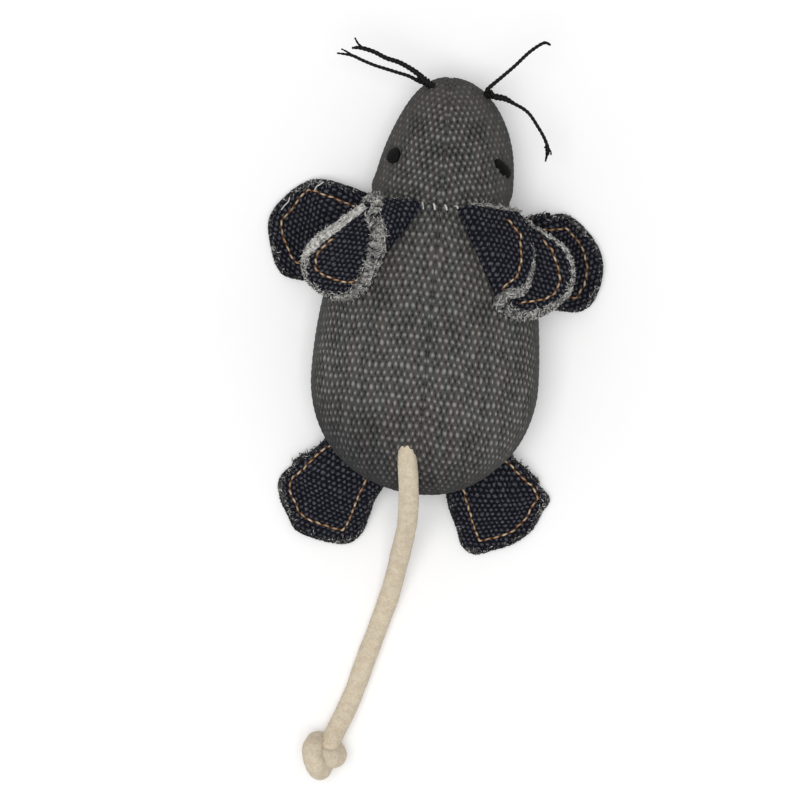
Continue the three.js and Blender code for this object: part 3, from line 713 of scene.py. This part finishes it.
# Neck seam: it holds the ears and both pairs of panels, and whip stitches of white thread cross it. They
# lie a little towards the rump from where the panels meet.
neck_white = thread_finish("neck_thread", 0.8, "UV", 6.0, (0.5, 0.49, 0.46), (0.82, 0.8, 0.76))
whip = {
    "pitch": 3.4, "thickness": 0.62, "heights": (-0.3, 0.7), "material": neck_white,
    "fill": 0.2, "slant": 2.1,
}
whip_offset = 1.4
neck_angles = np.linspace(-belly_seam_angle, belly_seam_angle, 300)
add_seam("neck_seam_thread", neck_angles, np.full_like(neck_angles, neck_y - whip_offset), 0,
         draw=np.random.default_rng(5), **whip)

# Eyes: small domes embroidered in black thread, of satin stitches laid side by side from rim to rim.
eye_shapes = {
    "left_eye": {"place": (-0.79, 0.23), "half_around": 3.0, "half_along": 2.2, "lean": -0.25},
    "right_eye": {"place": (0.845, 0.2), "half_around": 4.5, "half_along": 1.6, "lean": -0.45},
}
eye_dome = 1.0
eye_sink, eye_layer = 0.1, 0.22
eye_strand = 0.42
black_thread = thread_finish(
    "black_thread", 0.5, "Object", 3000.0, (0.002, 0.002, 0.002), (0.01, 0.01, 0.01))


def add_eye(name, place, half_around, half_along, lean):
    """Two layers of stitches over a dome: each strand crosses the eye at its own distance from the
    middle, as long as the ellipse is wide there, and rises as the dome does. The second one is turned."""
    angle = np.arcsin(place[0])
    y = cheek_y + head_reach * place[1]
    layers = []
    for layer, turn in enumerate((lean, lean + 0.5 * (half_along / half_around) ** 2)):
        rows = np.linspace(-1, 1, int(2 * half_along / eye_strand) + 1)[:, None] * 0.97
        run = np.linspace(-1, 1, 11)[None]
        half_run = np.sqrt(np.maximum(0, 1 - rows**2))
        around, along = half_around * run * half_run, np.broadcast_to(half_along * rows, (len(rows), 11))
        u = around * np.cos(turn) - along * np.sin(turn)
        v = around * np.sin(turn) + along * np.cos(turn)
        eye_angle, eye_y = angle + u / (head_half * 0.95), y + v
        dome = eye_dome * np.sqrt(np.maximum(0, 1 - rows**2) * np.maximum(0, 1 - run**4))
        rise = dome - eye_sink + eye_layer * layer
        normal = skin_normal(eye_angle, eye_y)
        centres = skin_point(eye_angle, eye_y) + normal * rise[..., None]
        layers.append((centres, normal))
    centres, normals = (np.concatenate(part) for part in zip(*layers))
    radii = np.full((*centres.shape[:2], 1), eye_strand * 0.62)
    strands = tubes(centres, normals, radii, 6)
    eye = add_piece(name + "_stitches", *strands, black_thread, slot="eye_thread", node=name)
    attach(eye, "torso")


for name, shape in eye_shapes.items():
    add_eye(name, **shape)

# Whiskers: black waxed thread, wrapped round itself where it leaves the snout, with two stiff ends left
# long. Some come unlaid at the tip, where one ply stands off. Each place has the thread's thickness
# after it, which the wax swells.
wax_swell = 1.2
ply_turn = 2.6
wrap_thickness = 0.8
whisker_routes = {
    "left_upper_whisker": (
        [-4.8, 75.2, 21.6, 1.5], [-7.75, 76.7, 22.3, 1.5], [-9.9, 78.6, 22.7, 1.5],
        [-13.2, 80.4, 23.1, 1.35], [-16.25, 81.6, 23.5, 1.3], [-19.8, 82.4, 23.8, 1.25],
        [-23.6, 83.9, 24.2, 1.2], [-27.6, 84.7, 24.6, 1.15], [-30.2, 84.4, 24.8, 0.6],
    ),
    "left_lower_whisker": (
        [-4.9, 75.0, 20.6, 1.2], [-7.4, 76.0, 21.1, 1.2], [-9.6, 76.6, 21.3, 1.1],
        [-12.5, 77.8, 21.3, 1.0], [-16.0, 78.6, 21.2, 0.95], [-19.6, 79.4, 21.0, 0.95],
        [-23.3, 80.25, 20.8, 0.9], [-27.1, 81.5, 20.5, 0.9], [-30.2, 82.6, 20.3, 0.85],
        [-34.6, 82.9, 20.1, 0.45],
    ),
    "right_upper_whisker": (
        [10.9, 74.6, 18.6, 1.5], [11.4, 76.3, 19.6, 1.2], [15.0, 79.9, 20.8, 1.0],
        [18.6, 83.5, 22.0, 0.95], [22.2, 87.5, 23.2, 0.95], [25.0, 89.9, 23.9, 0.9],
        [27.0, 91.0, 24.3, 0.85], [28.7, 90.4, 24.4, 0.6],
    ),
    "right_lower_whisker": (
        [10.9, 74.7, 18.0, 1.5], [14.2, 74.1, 18.7, 1.75], [16.6, 73.8, 18.8, 1.6],
        [19.6, 72.5, 18.8, 1.0], [22.5, 71.2, 18.6, 0.95], [24.6, 69.6, 18.3, 0.9],
        [27.0, 66.6, 17.8, 0.9], [29.1, 63.7, 17.3, 0.9], [30.4, 61.2, 16.9, 1.0],
        [30.8, 59.4, 16.6, 1.35], [30.6, 57.9, 16.3, 0.7], [30.4, 56.3, 16.0, 0.5],
    ),
}
ply_routes = {
    "left_upper_whisker": ([-26.4, 84.5, 24.5, 0.6], [-28.3, 85.7, 24.9, 0.6], [-29.6, 87.5, 25.2, 0.45]),
    "left_lower_whisker": ([-29.2, 82.3, 20.4, 0.5], [-31.6, 83.5, 20.5, 0.5], [-33.4, 84.2, 20.8, 0.4]),
    "right_lower_whisker": ([29.6, 60.6, 16.8, 0.5], [31.5, 59.6, 16.9, 0.5], [31.9, 58.3, 16.8, 0.4]),
}


def plied(centres, lifts, thickness):
    """A thread of two plies twisted together: its radius swells twice round it, and turns along it."""
    turns = np.arange(10) * 2 * np.pi / 10
    twist = lengths_along(centres)[:, None] * 2 * np.pi / ply_turn
    radii = thickness[:, None] / 2 * (0.8 + 0.24 * np.cos(turns - twist) ** 2)
    return tubes(centres[None], lifts[None], radii[None], 10)


def add_thread(name, route, node=None):
    """A thread along a route of places with the thickness after each."""
    line = curve_through(np.array(route, dtype=float), 0.25)
    centres, thickness = line[:, :3], line[:, 3] * wax_swell
    thread = plied(centres, carried_lifts(centres, np.array([0, 0, 1.0])), thickness)
    piece = add_piece(name, *thread, black_thread, slot="whisker_thread", node=node)
    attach(piece, "torso")


for name, route in whisker_routes.items():
    add_thread(name + "_thread", route, name)
for name, route in ply_routes.items():
    add_thread(name + "_loose_ply", route)

wrap_places = {"left_whisker_knot": ([-5.2, 75.3, 21.2], [-10.0, 78.1, 22.2], 1.0, 5),
               "right_whisker_knot": ([10.7, 74.2, 18.0], [13.0, 75.0, 19.2], 0.95, 3)}
for name, (start, end, reach, turns) in wrap_places.items():
    share = np.linspace(0, 1, 160)[:, None]
    middle = blend(np.array(start), np.array(end), share)
    heading = unit(np.array(end) - np.array(start))
    first = unit(np.cross(heading, [0, 0, 1.0]))
    second = np.cross(heading, first)
    turn = share * 2 * np.pi * turns
    wrap = middle + reach * (np.cos(turn) * first + np.sin(turn) * second)
    thread = plied(wrap, unit(wrap - middle), np.full(len(wrap), wrap_thickness))
    wrapping = add_piece(name + "_wraps", *thread, black_thread, slot="whisker_thread", node=name)
    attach(wrapping, "torso")

# Ears: each is cut from two layers of navy denim, laid edge to edge, topstitched in tan jeans thread
# and sewn into the neck seam with one side folded over. Its rim is left raw. The stitches lie at shares
# of the way out to the rim and of the way round it.
denim_thickness = 0.8
layer_gap = 0.15
weave_sink = 0.15
ear_length = 36.5
ear_root_step = 0.6
ear_bend = (40, 33)
fold_height = 4.4
fold_x, fold_angle = 7.6, np.radians(29)
base_slope, lie_slope = 0.6, 0.6
ear_stand = 1.35 * np.hypot(1, lie_slope)
left_ear_row = [
    [0.58, 0.2], [0.74, 0.202], [0.81, 0.218], [0.87, 0.277], [0.85, 0.348], [0.835, 0.423],
    [0.83, 0.49], [0.82, 0.56], [0.8, 0.66], [0.78, 0.76],
]
ears = {
    "left": {
        "side": -1,
        "rows": [
            [0.335, 0, 0.665, 0.51, 0.095], [0.3, 0, 0.805, 0.53, 0.125], [0.235, 0, 0.93, 0.485, 0.135],
            [0.175, 0, 1.015, 0.37, 0.135], [0.11, 0, 1.04, 0.215, 0.125], [0.05, 0, 1.005, 0.065, 0.11],
            [-0.005, 0.06, 0.925, -0.01, 0.125], [-0.057, 0.5, 0.77, 0.0, 0.18],
            [0.01, 1, 0.59, 0.045, 0.26], [0.095, 1, 0.465, 0.105, 0.315], [0.19, 1, 0.36, 0.175, 0.315],
            [0.3, 1, 0.265, 0.245, 0.29],
        ],
        "grain": np.radians(110),
        "hem": [[0, 2.6], [0.2, 2.4], [0.3, 0.7], [0.42, 0.9], [0.55, 2.4], [0.65, 4.0], [1, 4.2]],
        "frays": [
            [0, 4.2, 1.2, 0.95, 0], [0.2, 4.2, 1.2, 0.95, 0], [0.3, 3.2, 1.1, 0.8, 0.1],
            [0.38, 1.2, 0.9, 0.45, 0.2], [0.5, 1.8, 1.0, 0.5, 0.3], [0.6, 3.4, 1.4, 0.62, 0.5],
            [0.75, 4.8, 2.2, 0.7, 0.8], [0.92, 4.8, 2.2, 0.75, 0.7], [1, 4.0, 1.4, 0.78, 0.3],
        ],
        "neck": [
            [0, 4.6, 1.3, 0.75, 0.4], [0.38, 4.4, 1.3, 0.75, 0.4], [0.5, 1.2, 1.0, 0.5, 0.0],
            [1, 1.0, 0.9, 0.4, 0.0],
        ],
        "stitches": {"upper": left_ear_row, "lower": left_ear_row[:6]},
    },
    "right": {
        "side": 1,
        "rows": [
            [0.355, 0, 0.59, 0.6, 0.027], [0.325, 0, 0.71, 0.625, 0.045], [0.275, 0, 0.85, 0.595, 0.05],
            [0.195, 0, 0.995, 0.48, 0.05], [0.1, 0, 1.06, 0.24, 0.033], [0.01, 0, 1.015, 0.02, 0.016],
            [-0.057, 0.5, 0.885, -0.06, 0.075], [0.01, 1, 0.83, 0, 0.145], [0.11, 1, 0.84, 0.15, 0.145],
            [0.205, 1, 0.68, 0.295, 0.142], [0.29, 1, 0.48, 0.373, 0.137], [0.36, 1, 0.28, 0.383, 0.126],
        ],
        "grain": np.radians(80),
        "hem": [
            [0, 0.9], [0.25, 1.0], [0.33, 1.8], [0.4, 3.0], [0.62, 3.2], [0.7, 3.0], [0.78, 2.0],
            [0.88, 0.6], [1, 0.4],
        ],
        "frays": [
            [0, 2.0, 1.0, 0.6, 0.3], [0.13, 2.1, 1.0, 0.78, 0], [0.35, 1.9, 1.0, 0.7, 0.1],
            [0.45, 3.0, 1.3, 0.6, 0.3], [0.62, 3.4, 1.5, 0.6, 0.5], [0.7, 3.2, 1.2, 0.68, 0.1],
            [0.78, 2.0, 1.1, 0.6, 0.1], [0.86, 1.0, 0.9, 0.4, 0.1], [0.9, 0.5, 0.6, 0.15, 0.0],
            [1, 0.5, 0.6, 0.15, 0.0],
        ],
        "neck": [[0, 3.0, 1.1, 0.75, 0.3], [0.3, 2.6, 1.0, 0.8, 0], [1, 1.4, 1.0, 0.6, 0]],
        "stitches": {
            "upper": [
                [0.5, 0.155], [0.555, 0.166], [0.645, 0.18], [0.725, 0.211], [0.795, 0.243],
                [0.86, 0.28], [0.89, 0.311], [0.885, 0.343], [0.865, 0.37], [0.85, 0.43],
            ],
            "lower": [
                [0.2, 0.835], [0.28, 0.845], [0.53, 0.857], [0.645, 0.807], [0.73, 0.77], [0.79, 0.72],
                [0.84, 0.67], [0.88, 0.62],
            ],
        },
    },
}
stitch_pitch = 2.7
stitch_thickness = 0.6
denim_weave = (0.86, 1.45)
denim_depth = 0.17
fibre_thickness = 0.24
fibres_per_mm = 22
fibre_reach = (0.7, 1.7)
fibre_lean, fibre_out_scatter, fibre_run_scatter, fibre_curl = 0.25, 0.8, 1.3, 0.5
mat_step = 0.3
mat_sides = 20
mat_lump, mat_ragged_lump = 0.12, 0.4


def denim_finish():
    """Navy denim with its pale thread showing as a dot where it lies over the dark ones."""
    material, shader, cloth = new_finish("denim", 0.95, "UV")
    tone, fibre = weave_tones(cloth, 1.0, 0.6, 1.8)
    ground = fibre.smooth(0.3, 0.7).mix((0.0015, 0.0017, 0.003), (0.0095, 0.0105, 0.0175))
    dot = fibre.smooth(0.35, 0.65).mix((0.046, 0.048, 0.059), (0.118, 0.12, 0.138))
    tone.smooth(-0.35, 1.55).mix(ground, dot).feed(shader, "Base Color")
    fibre.raise_surface(shader, 0.00012)
    return material


def fray_finish():
    """Frayed threads: each its own tone from navy to off-white, mottled by fine fibre."""
    material, shader, cloth = new_finish("frayed_edge", 1.0, "UV")
    place = cloth.node("ShaderNodeTexCoord", result="Object")
    tone = cloth.part("Y") + (place.noise(1700.0, 3.0) - 0.5) * 0.7
    dark = tone.smooth(0.05, 0.6).mix((0.008, 0.009, 0.014), (0.22, 0.217, 0.205))
    tone.smooth(0.45, 1.0).mix(dark, (0.72, 0.705, 0.665)).feed(shader, "Base Color")
    return material


denim = denim_finish()
fray = fray_finish()
tan, tan_shader, tan_place = new_finish("jeans_thread", 0.7, "UV")
# Painted shade: each stitch is tan on its crest, lighter or darker by chance, and dark brown where it dips
# into the cloth.
tan_unshaded_crest = (tan_place.part("X") * np.pi).math("SINE").smooth(0.45, 1.0)
tan_chance = tan_place.part("Y").math("SINE") * 0.5 + 0.5
tan_light = tan_chance.mix((0.38, 0.23, 0.12), (0.64, 0.5, 0.33))
tan_unshaded_crest.mix((0.13, 0.052, 0.02), tan_light).feed(tan_shader, "Base Color")


def lie_height(x, y):
    """Height of cloth that lies on the back: on the skin near the ridge, off it in a straight slope."""
    half, rise, _, axis = section(y)
    steep = lie_slope * half / rise
    leave = half * steep / np.hypot(1, steep)
    on_skin = np.minimum(np.abs(x), leave)
    return axis + rise * np.sqrt(1 - (on_skin / half) ** 2) - lie_slope * (np.abs(x) - on_skin)


def paired(first, second):
    """Two sets of numbers spread to one shape."""
    return np.broadcast_arrays(np.asarray(first, dtype=float), np.asarray(second, dtype=float))


def ear_surface(ear):
    """The ear's middle surface at a share of the way from its base to its rim and a share of the way
    round, from the free side of its leaf to that of its fold. Straight lines join base and rim, which
    are smooth curves through the rows. A row holds the base's distance out from the fold and its share
    of the fold's height, then the rim's place along the fold, out from it and up, in shares of the
    ear's length."""
    rows = np.array(ear["rows"])
    out = ear_length * rows[:, 0]
    base = np.stack([base_slope * np.maximum(out, 0), out, fold_height * rows[:, 1]], axis=1)
    rim = ear_length * rows[:, 2:]

    def surface(share, around):
        share, around = paired(share, around)
        place = np.clip(around, 0, 1) * (len(rows) - 1)
        middle = blend(smooth_through(base, place), smooth_through(rim, place), share[..., None])
        along, out, height = np.moveaxis(middle, -1, 0)
        x = ear["side"] * (fold_x + along * np.sin(fold_angle) + out * np.cos(fold_angle))
        y = neck_y - ear_root_step - along * np.cos(fold_angle) + out * np.sin(fold_angle)
        return np.stack([x, y, lie_height(x, np.minimum(y, neck_y)) + ear_stand + height], axis=-1)

    return surface


def unrolled(base, rim):
    """The flat cut of a surface of straight lines: the strips between them are laid out one after
    another, each new corner at its distances from two that lie already."""
    flat = [(np.zeros(2), np.array([np.linalg.norm(rim[0] - base[0]), 0]))]

    def reach(first, second):
        return np.linalg.norm(first - second)

    def corner(first, second, first_reach, second_reach):
        span = second - first
        width = np.linalg.norm(span)
        along = (first_reach**2 - second_reach**2 + width**2) / (2 * width)
        off = np.sqrt(max(first_reach**2 - along**2, 0))
        return first + (along * span + off * np.array([-span[1], span[0]])) / width

    for step in range(1, len(base)):
        low, high = flat[-1]
        low = corner(low, high, reach(base[step], base[step - 1]), reach(base[step], rim[step - 1]))
        high = corner(low, high, reach(rim[step], base[step]), reach(rim[step], rim[step - 1]))
        flat.append((low, high))
    return np.moveaxis(np.array(flat), 1, 0)


def surface_normal(surface, first, second, hand):
    """The direction out of a surface at places on it, square to its slopes both ways."""
    probe = 0.01
    along = surface(first + probe, second) - surface(first - probe, second)
    across = surface(first, second + probe) - surface(first, second - probe)
    return hand * unit(np.cross(along, across))


def along_stops(stops, share):
    """Whatever the stops hold after their first number, at places along it."""
    stops = np.array(stops)
    return read_at(share, stops[:, 0], stops[:, 1:]).T


def add_layers(body, faces, surface, grid, hem, grain, hand, rest):
    """Two layers of denim either side of a middle surface, each woven on its outer face, that end short
    of the raw edge by the hem."""
    around = np.linspace(0, 1, grid[1] + 1)
    base, rim = surface(np.zeros_like(around), around), surface(np.ones_like(around), around)
    reach = 1 - along_stops(hem, around)[0] / np.linalg.norm(rim - base, axis=1)
    share = np.linspace(0, 1, grid[0] + 1)[:, None] * reach
    middle = surface(share, around[None])
    normal = hand * unit(np.cross(np.gradient(middle, axis=0), np.gradient(middle, axis=1)))
    flat_base, flat_rim = unrolled(base, rim)
    pattern = blend(flat_base, flat_rim, share[..., None])
    turned = pattern @ np.array([[np.cos(grain), np.sin(grain)], [-np.sin(grain), np.cos(grain)]])
    threads = wandering(turned / denim_weave)
    rise = denim_depth * smoothstep(weave_field(threads), -0.65, 1.2)[..., None]
    for face, way, others in zip(faces, (-1, 1), (rest, [])):
        woven = middle + way * normal * (layer_gap + denim_thickness - weave_sink + rise)
        lining = (middle + way * normal * layer_gap)[::4, ::4]
        name, node = f"{body}_{face}_denim", f"{body}_{face}_cloth"
        layer = add_cloth(name, woven, lining, threads, denim, "denim", node)
        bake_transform(layer)
        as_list(others)


def add_fringe(name, edge, outward, normal, stops, seed):
    """Frayed threads felted along a raw edge: a flat lumpy roll whose section is an ellipse, and short
    threads that lie on its two faces and curl by chance. The stops give the fringe's width, half its
    thickness, its tone from 0, navy, to 1, off-white, and how ragged it is, at shares of the edge."""
    draw = np.random.default_rng(seed)
    reach = lengths_along(edge)

    def at_edge(at):
        along = [read_at(at, reach, values) for values in (edge, outward, normal)]
        return (*along, *(values[:, None] for values in along_stops(stops, at / reach[-1])))

    at = np.linspace(0, reach[-1], int(reach[-1] / mat_step))
    start, out, up, width, loft, pale, ragged = at_edge(at)
    noise = draw.normal(0, 1, (len(at), mat_sides))
    beside = [np.roll(noise, step, axis) for axis in (0, 1) for step in (1, -1)]
    lump = sum(beside, noise) / 5
    turns = np.arange(mat_sides) * 2 * np.pi / mat_sides
    radii = 1 / np.hypot(np.cos(turns) / loft, np.sin(turns) / (width / 2))
    radii = radii + (mat_lump + mat_ragged_lump * ragged) * lump
    mat, mat_faces = tubes((start - out * (width / 2 - 0.1))[None], up[None], radii[None], mat_sides)
    mat_tone = pale * (0.9 + 0.35 * lump) - ragged * np.abs(np.roll(lump, 3, 0)) * 0.9

    count = int(reach[-1] * fibres_per_mm)
    at = np.sort(draw.uniform(0, reach[-1], count))
    start, out, up, width, loft, pale, ragged = at_edge(at)
    run = unit(np.cross(out, up))
    way = draw.choice([-1.0, 1.0], (count, 1))
    inside = draw.uniform(0.03, 1, (count, 1)) * width
    bulge = np.sqrt(1 - np.clip(2 * inside / width - 1, -1, 1) ** 2) * loft
    base = start - out * inside + up * way * (bulge + 0.05)
    heading = out * draw.normal(fibre_lean, fibre_out_scatter, (count, 1))
    heading = heading + run * draw.normal(0, fibre_run_scatter, (count, 1))
    heading = unit(heading + up * way * np.abs(draw.normal(0, 0.1 + 0.5 * ragged)))
    size = np.minimum(draw.uniform(*fibre_reach, (count, 1)), inside + 0.2 + 0.9 * ragged)[:, None]
    share = np.linspace(0, 1, 4)[None, :, None]
    curl = draw.normal(0, fibre_curl, (count, 1, 1)) * run[:, None]
    curl = curl + draw.normal(0, fibre_curl, (count, 1, 1)) * out[:, None]
    centres = base[:, None] + size * (heading[:, None] * share + curl * share * (share - 1))
    centres[..., 2] = np.maximum(centres[..., 2], fibre_thickness / 2)
    radii = np.broadcast_to(fibre_thickness / 2 * np.array([0.6, 1, 1, 0.5])[:, None], (count, 4, 1))
    tone = np.where(draw.uniform(0, 1, (count, 1)) < pale, draw.uniform(0.4, 1, (count, 1)),
                    draw.uniform(0, 0.3, (count, 1)))
    tone = np.broadcast_to(tone[:, :, None], (count, 4, 4))
    lifts = np.broadcast_to(up[:, None], centres.shape)
    threads, thread_faces = tubes(centres, lifts, radii, 4)
    tones = np.concatenate([mat_tone.ravel(), tone.ravel()])
    faces = mat_faces + [group + len(mat) for group in thread_faces]
    cloth = np.stack([np.zeros_like(tones), tones], axis=1)
    return add_piece(name, np.concatenate([mat, threads]), faces, fray, cloth, slot="denim")


def between(places, count):
    """The two numbers of each place, read at even steps on straight runs from place to place."""
    stretch = np.linspace(0, len(places) - 1, count * len(places))
    return read_at(stretch, np.arange(len(places)), np.array(places, dtype=float)).T


def add_edge(name, surface, path, stops, hand, seed):
    """The fringe along a path of surface places, given as shares out and shares round."""
    share, around = between(path, 60)
    edge = surface(share, around)
    normal = surface_normal(surface, np.minimum(share, 0.98), np.clip(around, 0.02, 0.98), hand)
    outward = unit(np.cross(np.gradient(edge, axis=0), normal))
    away = np.sum(outward * (edge - edge.mean(axis=0)))
    return add_fringe(name, edge, outward * np.sign(away), normal, stops, seed)


def add_topstitch(name, surface, stops, hand, way, seed):
    """Jeans thread along surface places, on the upper face or the lower one."""
    first, second = between(stops, 40)
    line = surface(first, second)
    normal = surface_normal(surface, first, second, hand)
    height = layer_gap + denim_thickness
    heights = (height - stitch_thickness / 2, height + stitch_thickness / 2)
    draw = np.random.default_rng(seed)
    row = add_stitches(name, line, way * normal, stitch_pitch, stitch_thickness, heights, tan, draw)
    return row


rim_path = [
    [0.1, 0], [0.6, 0], [1, 0], *([1, share] for share in np.linspace(0.02, 0.98, 25)), [1, 1], [0.1, 1],
]
neck_path = [[0.09, 0.0], [0.08, 0.1], [0.04, 0.2], [0.0, 0.3], [0.0, 0.45]]
for hand, ear in ears.items():
    surface = ear_surface(ear)
    body = f"{hand}_ear"
    bend = {"start": (0, ear_bend[0] * MM, 0), "end": (0, ear_bend[1] * MM, 0)}
    upward = -ear["side"]
    frayed = add_edge(f"{body}_frayed_edge", surface, rim_path, ear["frays"], upward, 11 + ear["side"])
    seam_fray = add_edge(f"{body}_seam_fray", surface, neck_path, ear["neck"], upward, 21 + ear["side"])
    rows = [add_topstitch(f"{body}_tan_{face}", surface, ear["stitches"][face], upward, way, 17)
            for face, way in (("upper", 1), ("lower", -1))]
    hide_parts(f"{body}_topstitch")
    for piece in (*rows, frayed, seam_fray):
        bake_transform(piece)
    add_layers(body, ("outer", "inner"), surface, (100, 300), ear["hem"], ear["grain"], upward,
               [frayed])

# Paws: each is two layers of the same denim, topstitched and frayed as the ears are, and sewn flat into
# the belly seam. They lie on the floor. Rims, stitches and stray threads are given out from the belly
# seam and along it, in millimetres.
paw_root_half = 12.2
paw_lie = 1.4
paw_tuck, paw_clear = -0.3, 1.1
paw_seam_drop, paw_tip_lift = 0.9, 1.4
paw_bend_reach = 6
stray_thickness, stray_rise = 0.4, 0.35
front_root_y, hind_root_y = blend(widest_y, neck_y, 0.768), blend(widest_y, rump_y, 0.773)
hind_out = np.radians(-58)
paws = {
    "left_front_paw": {
        "side": -1, "root_y": front_root_y, "out": 0.0, "grain": 0.0,
        "rim": [
            [2, -12.6], [8, -13.2], [14, -13.2], [19, -12.2], [22, -8.4], [23.9, -2.5], [24.8, 3.6],
            [22.6, 8.8], [18.1, 13.9], [13.5, 16.9], [8.6, 17.3], [3.4, 14.9], [0.5, 12.8],
        ],
        "stitches": [
            [0.3, 8.2], [5.8, 11.2], [10.7, 13.8], [13.3, 14.1], [16.2, 11.6], [18.8, 7.5], [21.2, 4],
            [20.7, -0.2], [18.9, -3.4], [17.6, -6.2], [15.4, -8.4], [9, -8.6], [0.5, -8],
        ],
        "strays": [[[9.2, 16.7], [10.0, 15.8], [10.8, 15.1], [11.2, 13.9]],
                   [[19.4, 11.3], [19.8, 9.8], [20.8, 8.6], [21.6, 7.2]]],
    },
    "right_front_paw": {
        "side": 1, "root_y": front_root_y, "out": 0.0, "grain": 0.0,
        "rim": [
            [2, -13], [8, -15.2], [13.5, -15.8], [18.9, -15.4], [22.6, -12.2], [24.3, -7], [24.6, -1.2],
            [22.8, 4], [19.4, 8.4], [15.2, 12.0], [11, 13.4], [7.2, 11.9], [3.8, 10.1], [1, 9],
        ],
        "stitches": [
            [0.3, -8], [6, -10.4], [13, -11.6], [17.6, -11.4], [19.8, -7.4], [20.3, -2], [18.8, 2.4],
            [16.8, 5.3], [14.8, 7.3], [12.6, 9.0], [10.9, 9.0], [6, 7.8], [0.4, 6.6],
        ],
    },
    "left_hind_paw": {
        "side": -1, "root_y": hind_root_y, "out": hind_out, "grain": np.radians(122),
        "rim": [
            [0, -12.4], [4.4, -12.8], [9.2, -14.5], [14, -15.7], [18.9, -14.4], [22.3, -9.4],
            [24.3, -4.1], [25.3, 0.8], [23, 5.8], [20.3, 10.6], [16, 14], [10.4, 13.2], [5.3, 10.2],
            [0.4, 8],
        ],
        "stitches": [
            [0.5, 6.8], [4, 8.8], [8.9, 9.9], [12.4, 10.9], [15.3, 10.6], [17.3, 9.3], [19.3, 5.7],
            [20.7, 3], [20.7, -1.1], [18.9, -6.5], [17.2, -10.6], [12.9, -10.5], [8.1, -9.2], [4.2, -8],
            [0.5, -7.2],
        ],
    },
    "right_hind_paw": {
        "side": 1, "root_y": hind_root_y, "out": hind_out, "grain": np.radians(140),
        "rim": [
            [0, -12.4], [5, -14], [10.5, -14.7], [15.8, -15.6], [19.6, -13.4], [20.9, -8], [22, -1.8],
            [21, 5.2], [17.6, 10.6], [15.2, 14.4], [10.4, 13.5], [5, 10.6], [0.3, 8],
        ],
        "stitches": [
            [0.5, 7], [2.9, 8], [5.6, 9.4], [8.7, 11.2], [10.8, 11.6], [13.2, 11], [14.5, 8.8],
            [16.4, 6.6], [18.1, 3.3], [18.8, 0.5], [18.7, -1.8], [18.2, -4.6], [17.6, -7.6],
            [16.9, -10.3], [12.6, -9.9], [8.6, -9.4], [4.5, -8.5], [0.5, -7.8],
        ],
    },
}
paw_hem = [[0, 0.5], [1, 0.5]]
paw_frays = [
    [0, 1.0, 0.9, 0.06, 0.1], [0.25, 1.1, 0.9, 0.1, 0.1], [0.33, 1.6, 1.0, 0.3, 0.1],
    [0.4, 1.1, 0.9, 0.08, 0.1], [0.55, 1.2, 0.9, 0.14, 0.1], [0.68, 1.7, 1.0, 0.34, 0.1],
    [0.8, 1.4, 1.0, 0.22, 0.1], [0.9, 1.1, 0.9, 0.1, 0.1], [1, 1.0, 0.9, 0.08, 0.1],
]


def paw_place(paw):
    """The paw's middle surface at millimetres out from its root and along it. It leaves the belly seam,
    which it finds by halving, comes down to the floor and lifts a little at its tip."""
    side = paw["side"]
    out = np.array([side * np.cos(paw["out"]), np.sin(paw["out"]), 0])
    along = np.array([-side * out[1], side * out[0], 0])
    angle = side * belly_seam_angle
    root = skin_point(angle, paw["root_y"])

    def place(a, b):
        a, b = paired(a, b)
        root_b = np.clip(b, -paw_root_half, paw_root_half)
        low, high = np.full(b.shape, rump_y), np.full(b.shape, neck_y)
        for _ in range(30):
            halfway = (low + high) / 2
            short = (skin_point(angle, halfway) - root) @ along < root_b
            low, high = np.where(short, halfway, low), np.where(short, high, halfway)
        seam = skin_point(angle, low)
        to_seam = seam - root - along * root_b[..., None]
        held = 1 - smoothstep(a, 0, 11)
        reach = a + paw_tuck + (paw_clear - paw_tuck) * smoothstep(a, 0, 9)
        point = root + along * b[..., None] + out * reach[..., None] + to_seam * held[..., None]
        height = blend(seam[..., 2] - paw_seam_drop, paw_lie, smoothstep(a, 0, 15))
        point[..., 2] = height + paw_tip_lift * smoothstep(a, 15, 25)
        return point

    return place, root, out


def paw_surface(place, rim):
    """The same surface at a share of the way from its root to its rim and a share of the way round,
    where straight lines join the root to a smooth curve through the rim's places."""
    rim = np.array(rim, dtype=float)

    def surface(share, around):
        share, around = paired(share, around)
        around = np.clip(around, 0, 1)
        root = np.stack([np.zeros_like(around), paw_root_half * (2 * around - 1)], axis=-1)
        outer = smooth_through(rim, around * (len(rim) - 1))
        return place(*np.moveaxis(blend(root, outer, share[..., None]), -1, 0))

    return surface


def add_strays(body, surface, routes, hand):
    """Loose white threads that lie on a piece, each along a curve of surface places."""
    for number, route in enumerate(routes, 1):
        first, second = curve_through(np.array(route, float), 0.3).T
        normal = surface_normal(surface, first, second, hand)
        centres = surface(first, second) + normal * (layer_gap + denim_thickness + stray_rise)
        thread = tubes(centres[None], normal[None], np.full((1, len(centres), 1), stray_thickness / 2), 6)
        yield add_piece(f"{body}_stray_thread_{number}", *thread, neck_white, slot="denim")


paw_path = [[1, share] for share in np.linspace(0, 1, 26)]
for seed, (body, paw) in enumerate(paws.items()):
    place, root, out = paw_place(paw)
    surface = paw_surface(place, paw["rim"])
    bend = {"start": tuple(root * MM), "end": tuple((root + out * paw_bend_reach) * MM)}
    frayed = add_edge(f"{body}_frayed_edge", surface, paw_path, paw_frays, paw["side"], 30 + seed)
    top_row = add_topstitch(f"{body}_tan", place, paw["stitches"], paw["side"], 1, 40 + seed)
    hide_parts(f"{body}_topstitch")
    strays = list(add_strays(body, place, paw.get("strays", []), paw["side"]))
    for piece in (top_row, frayed, *strays):
        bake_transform(piece)
    add_layers(body, ("bottom", "top"), surface, (84, 248), paw_hem, paw["grain"], paw["side"],
               [frayed, *strays])
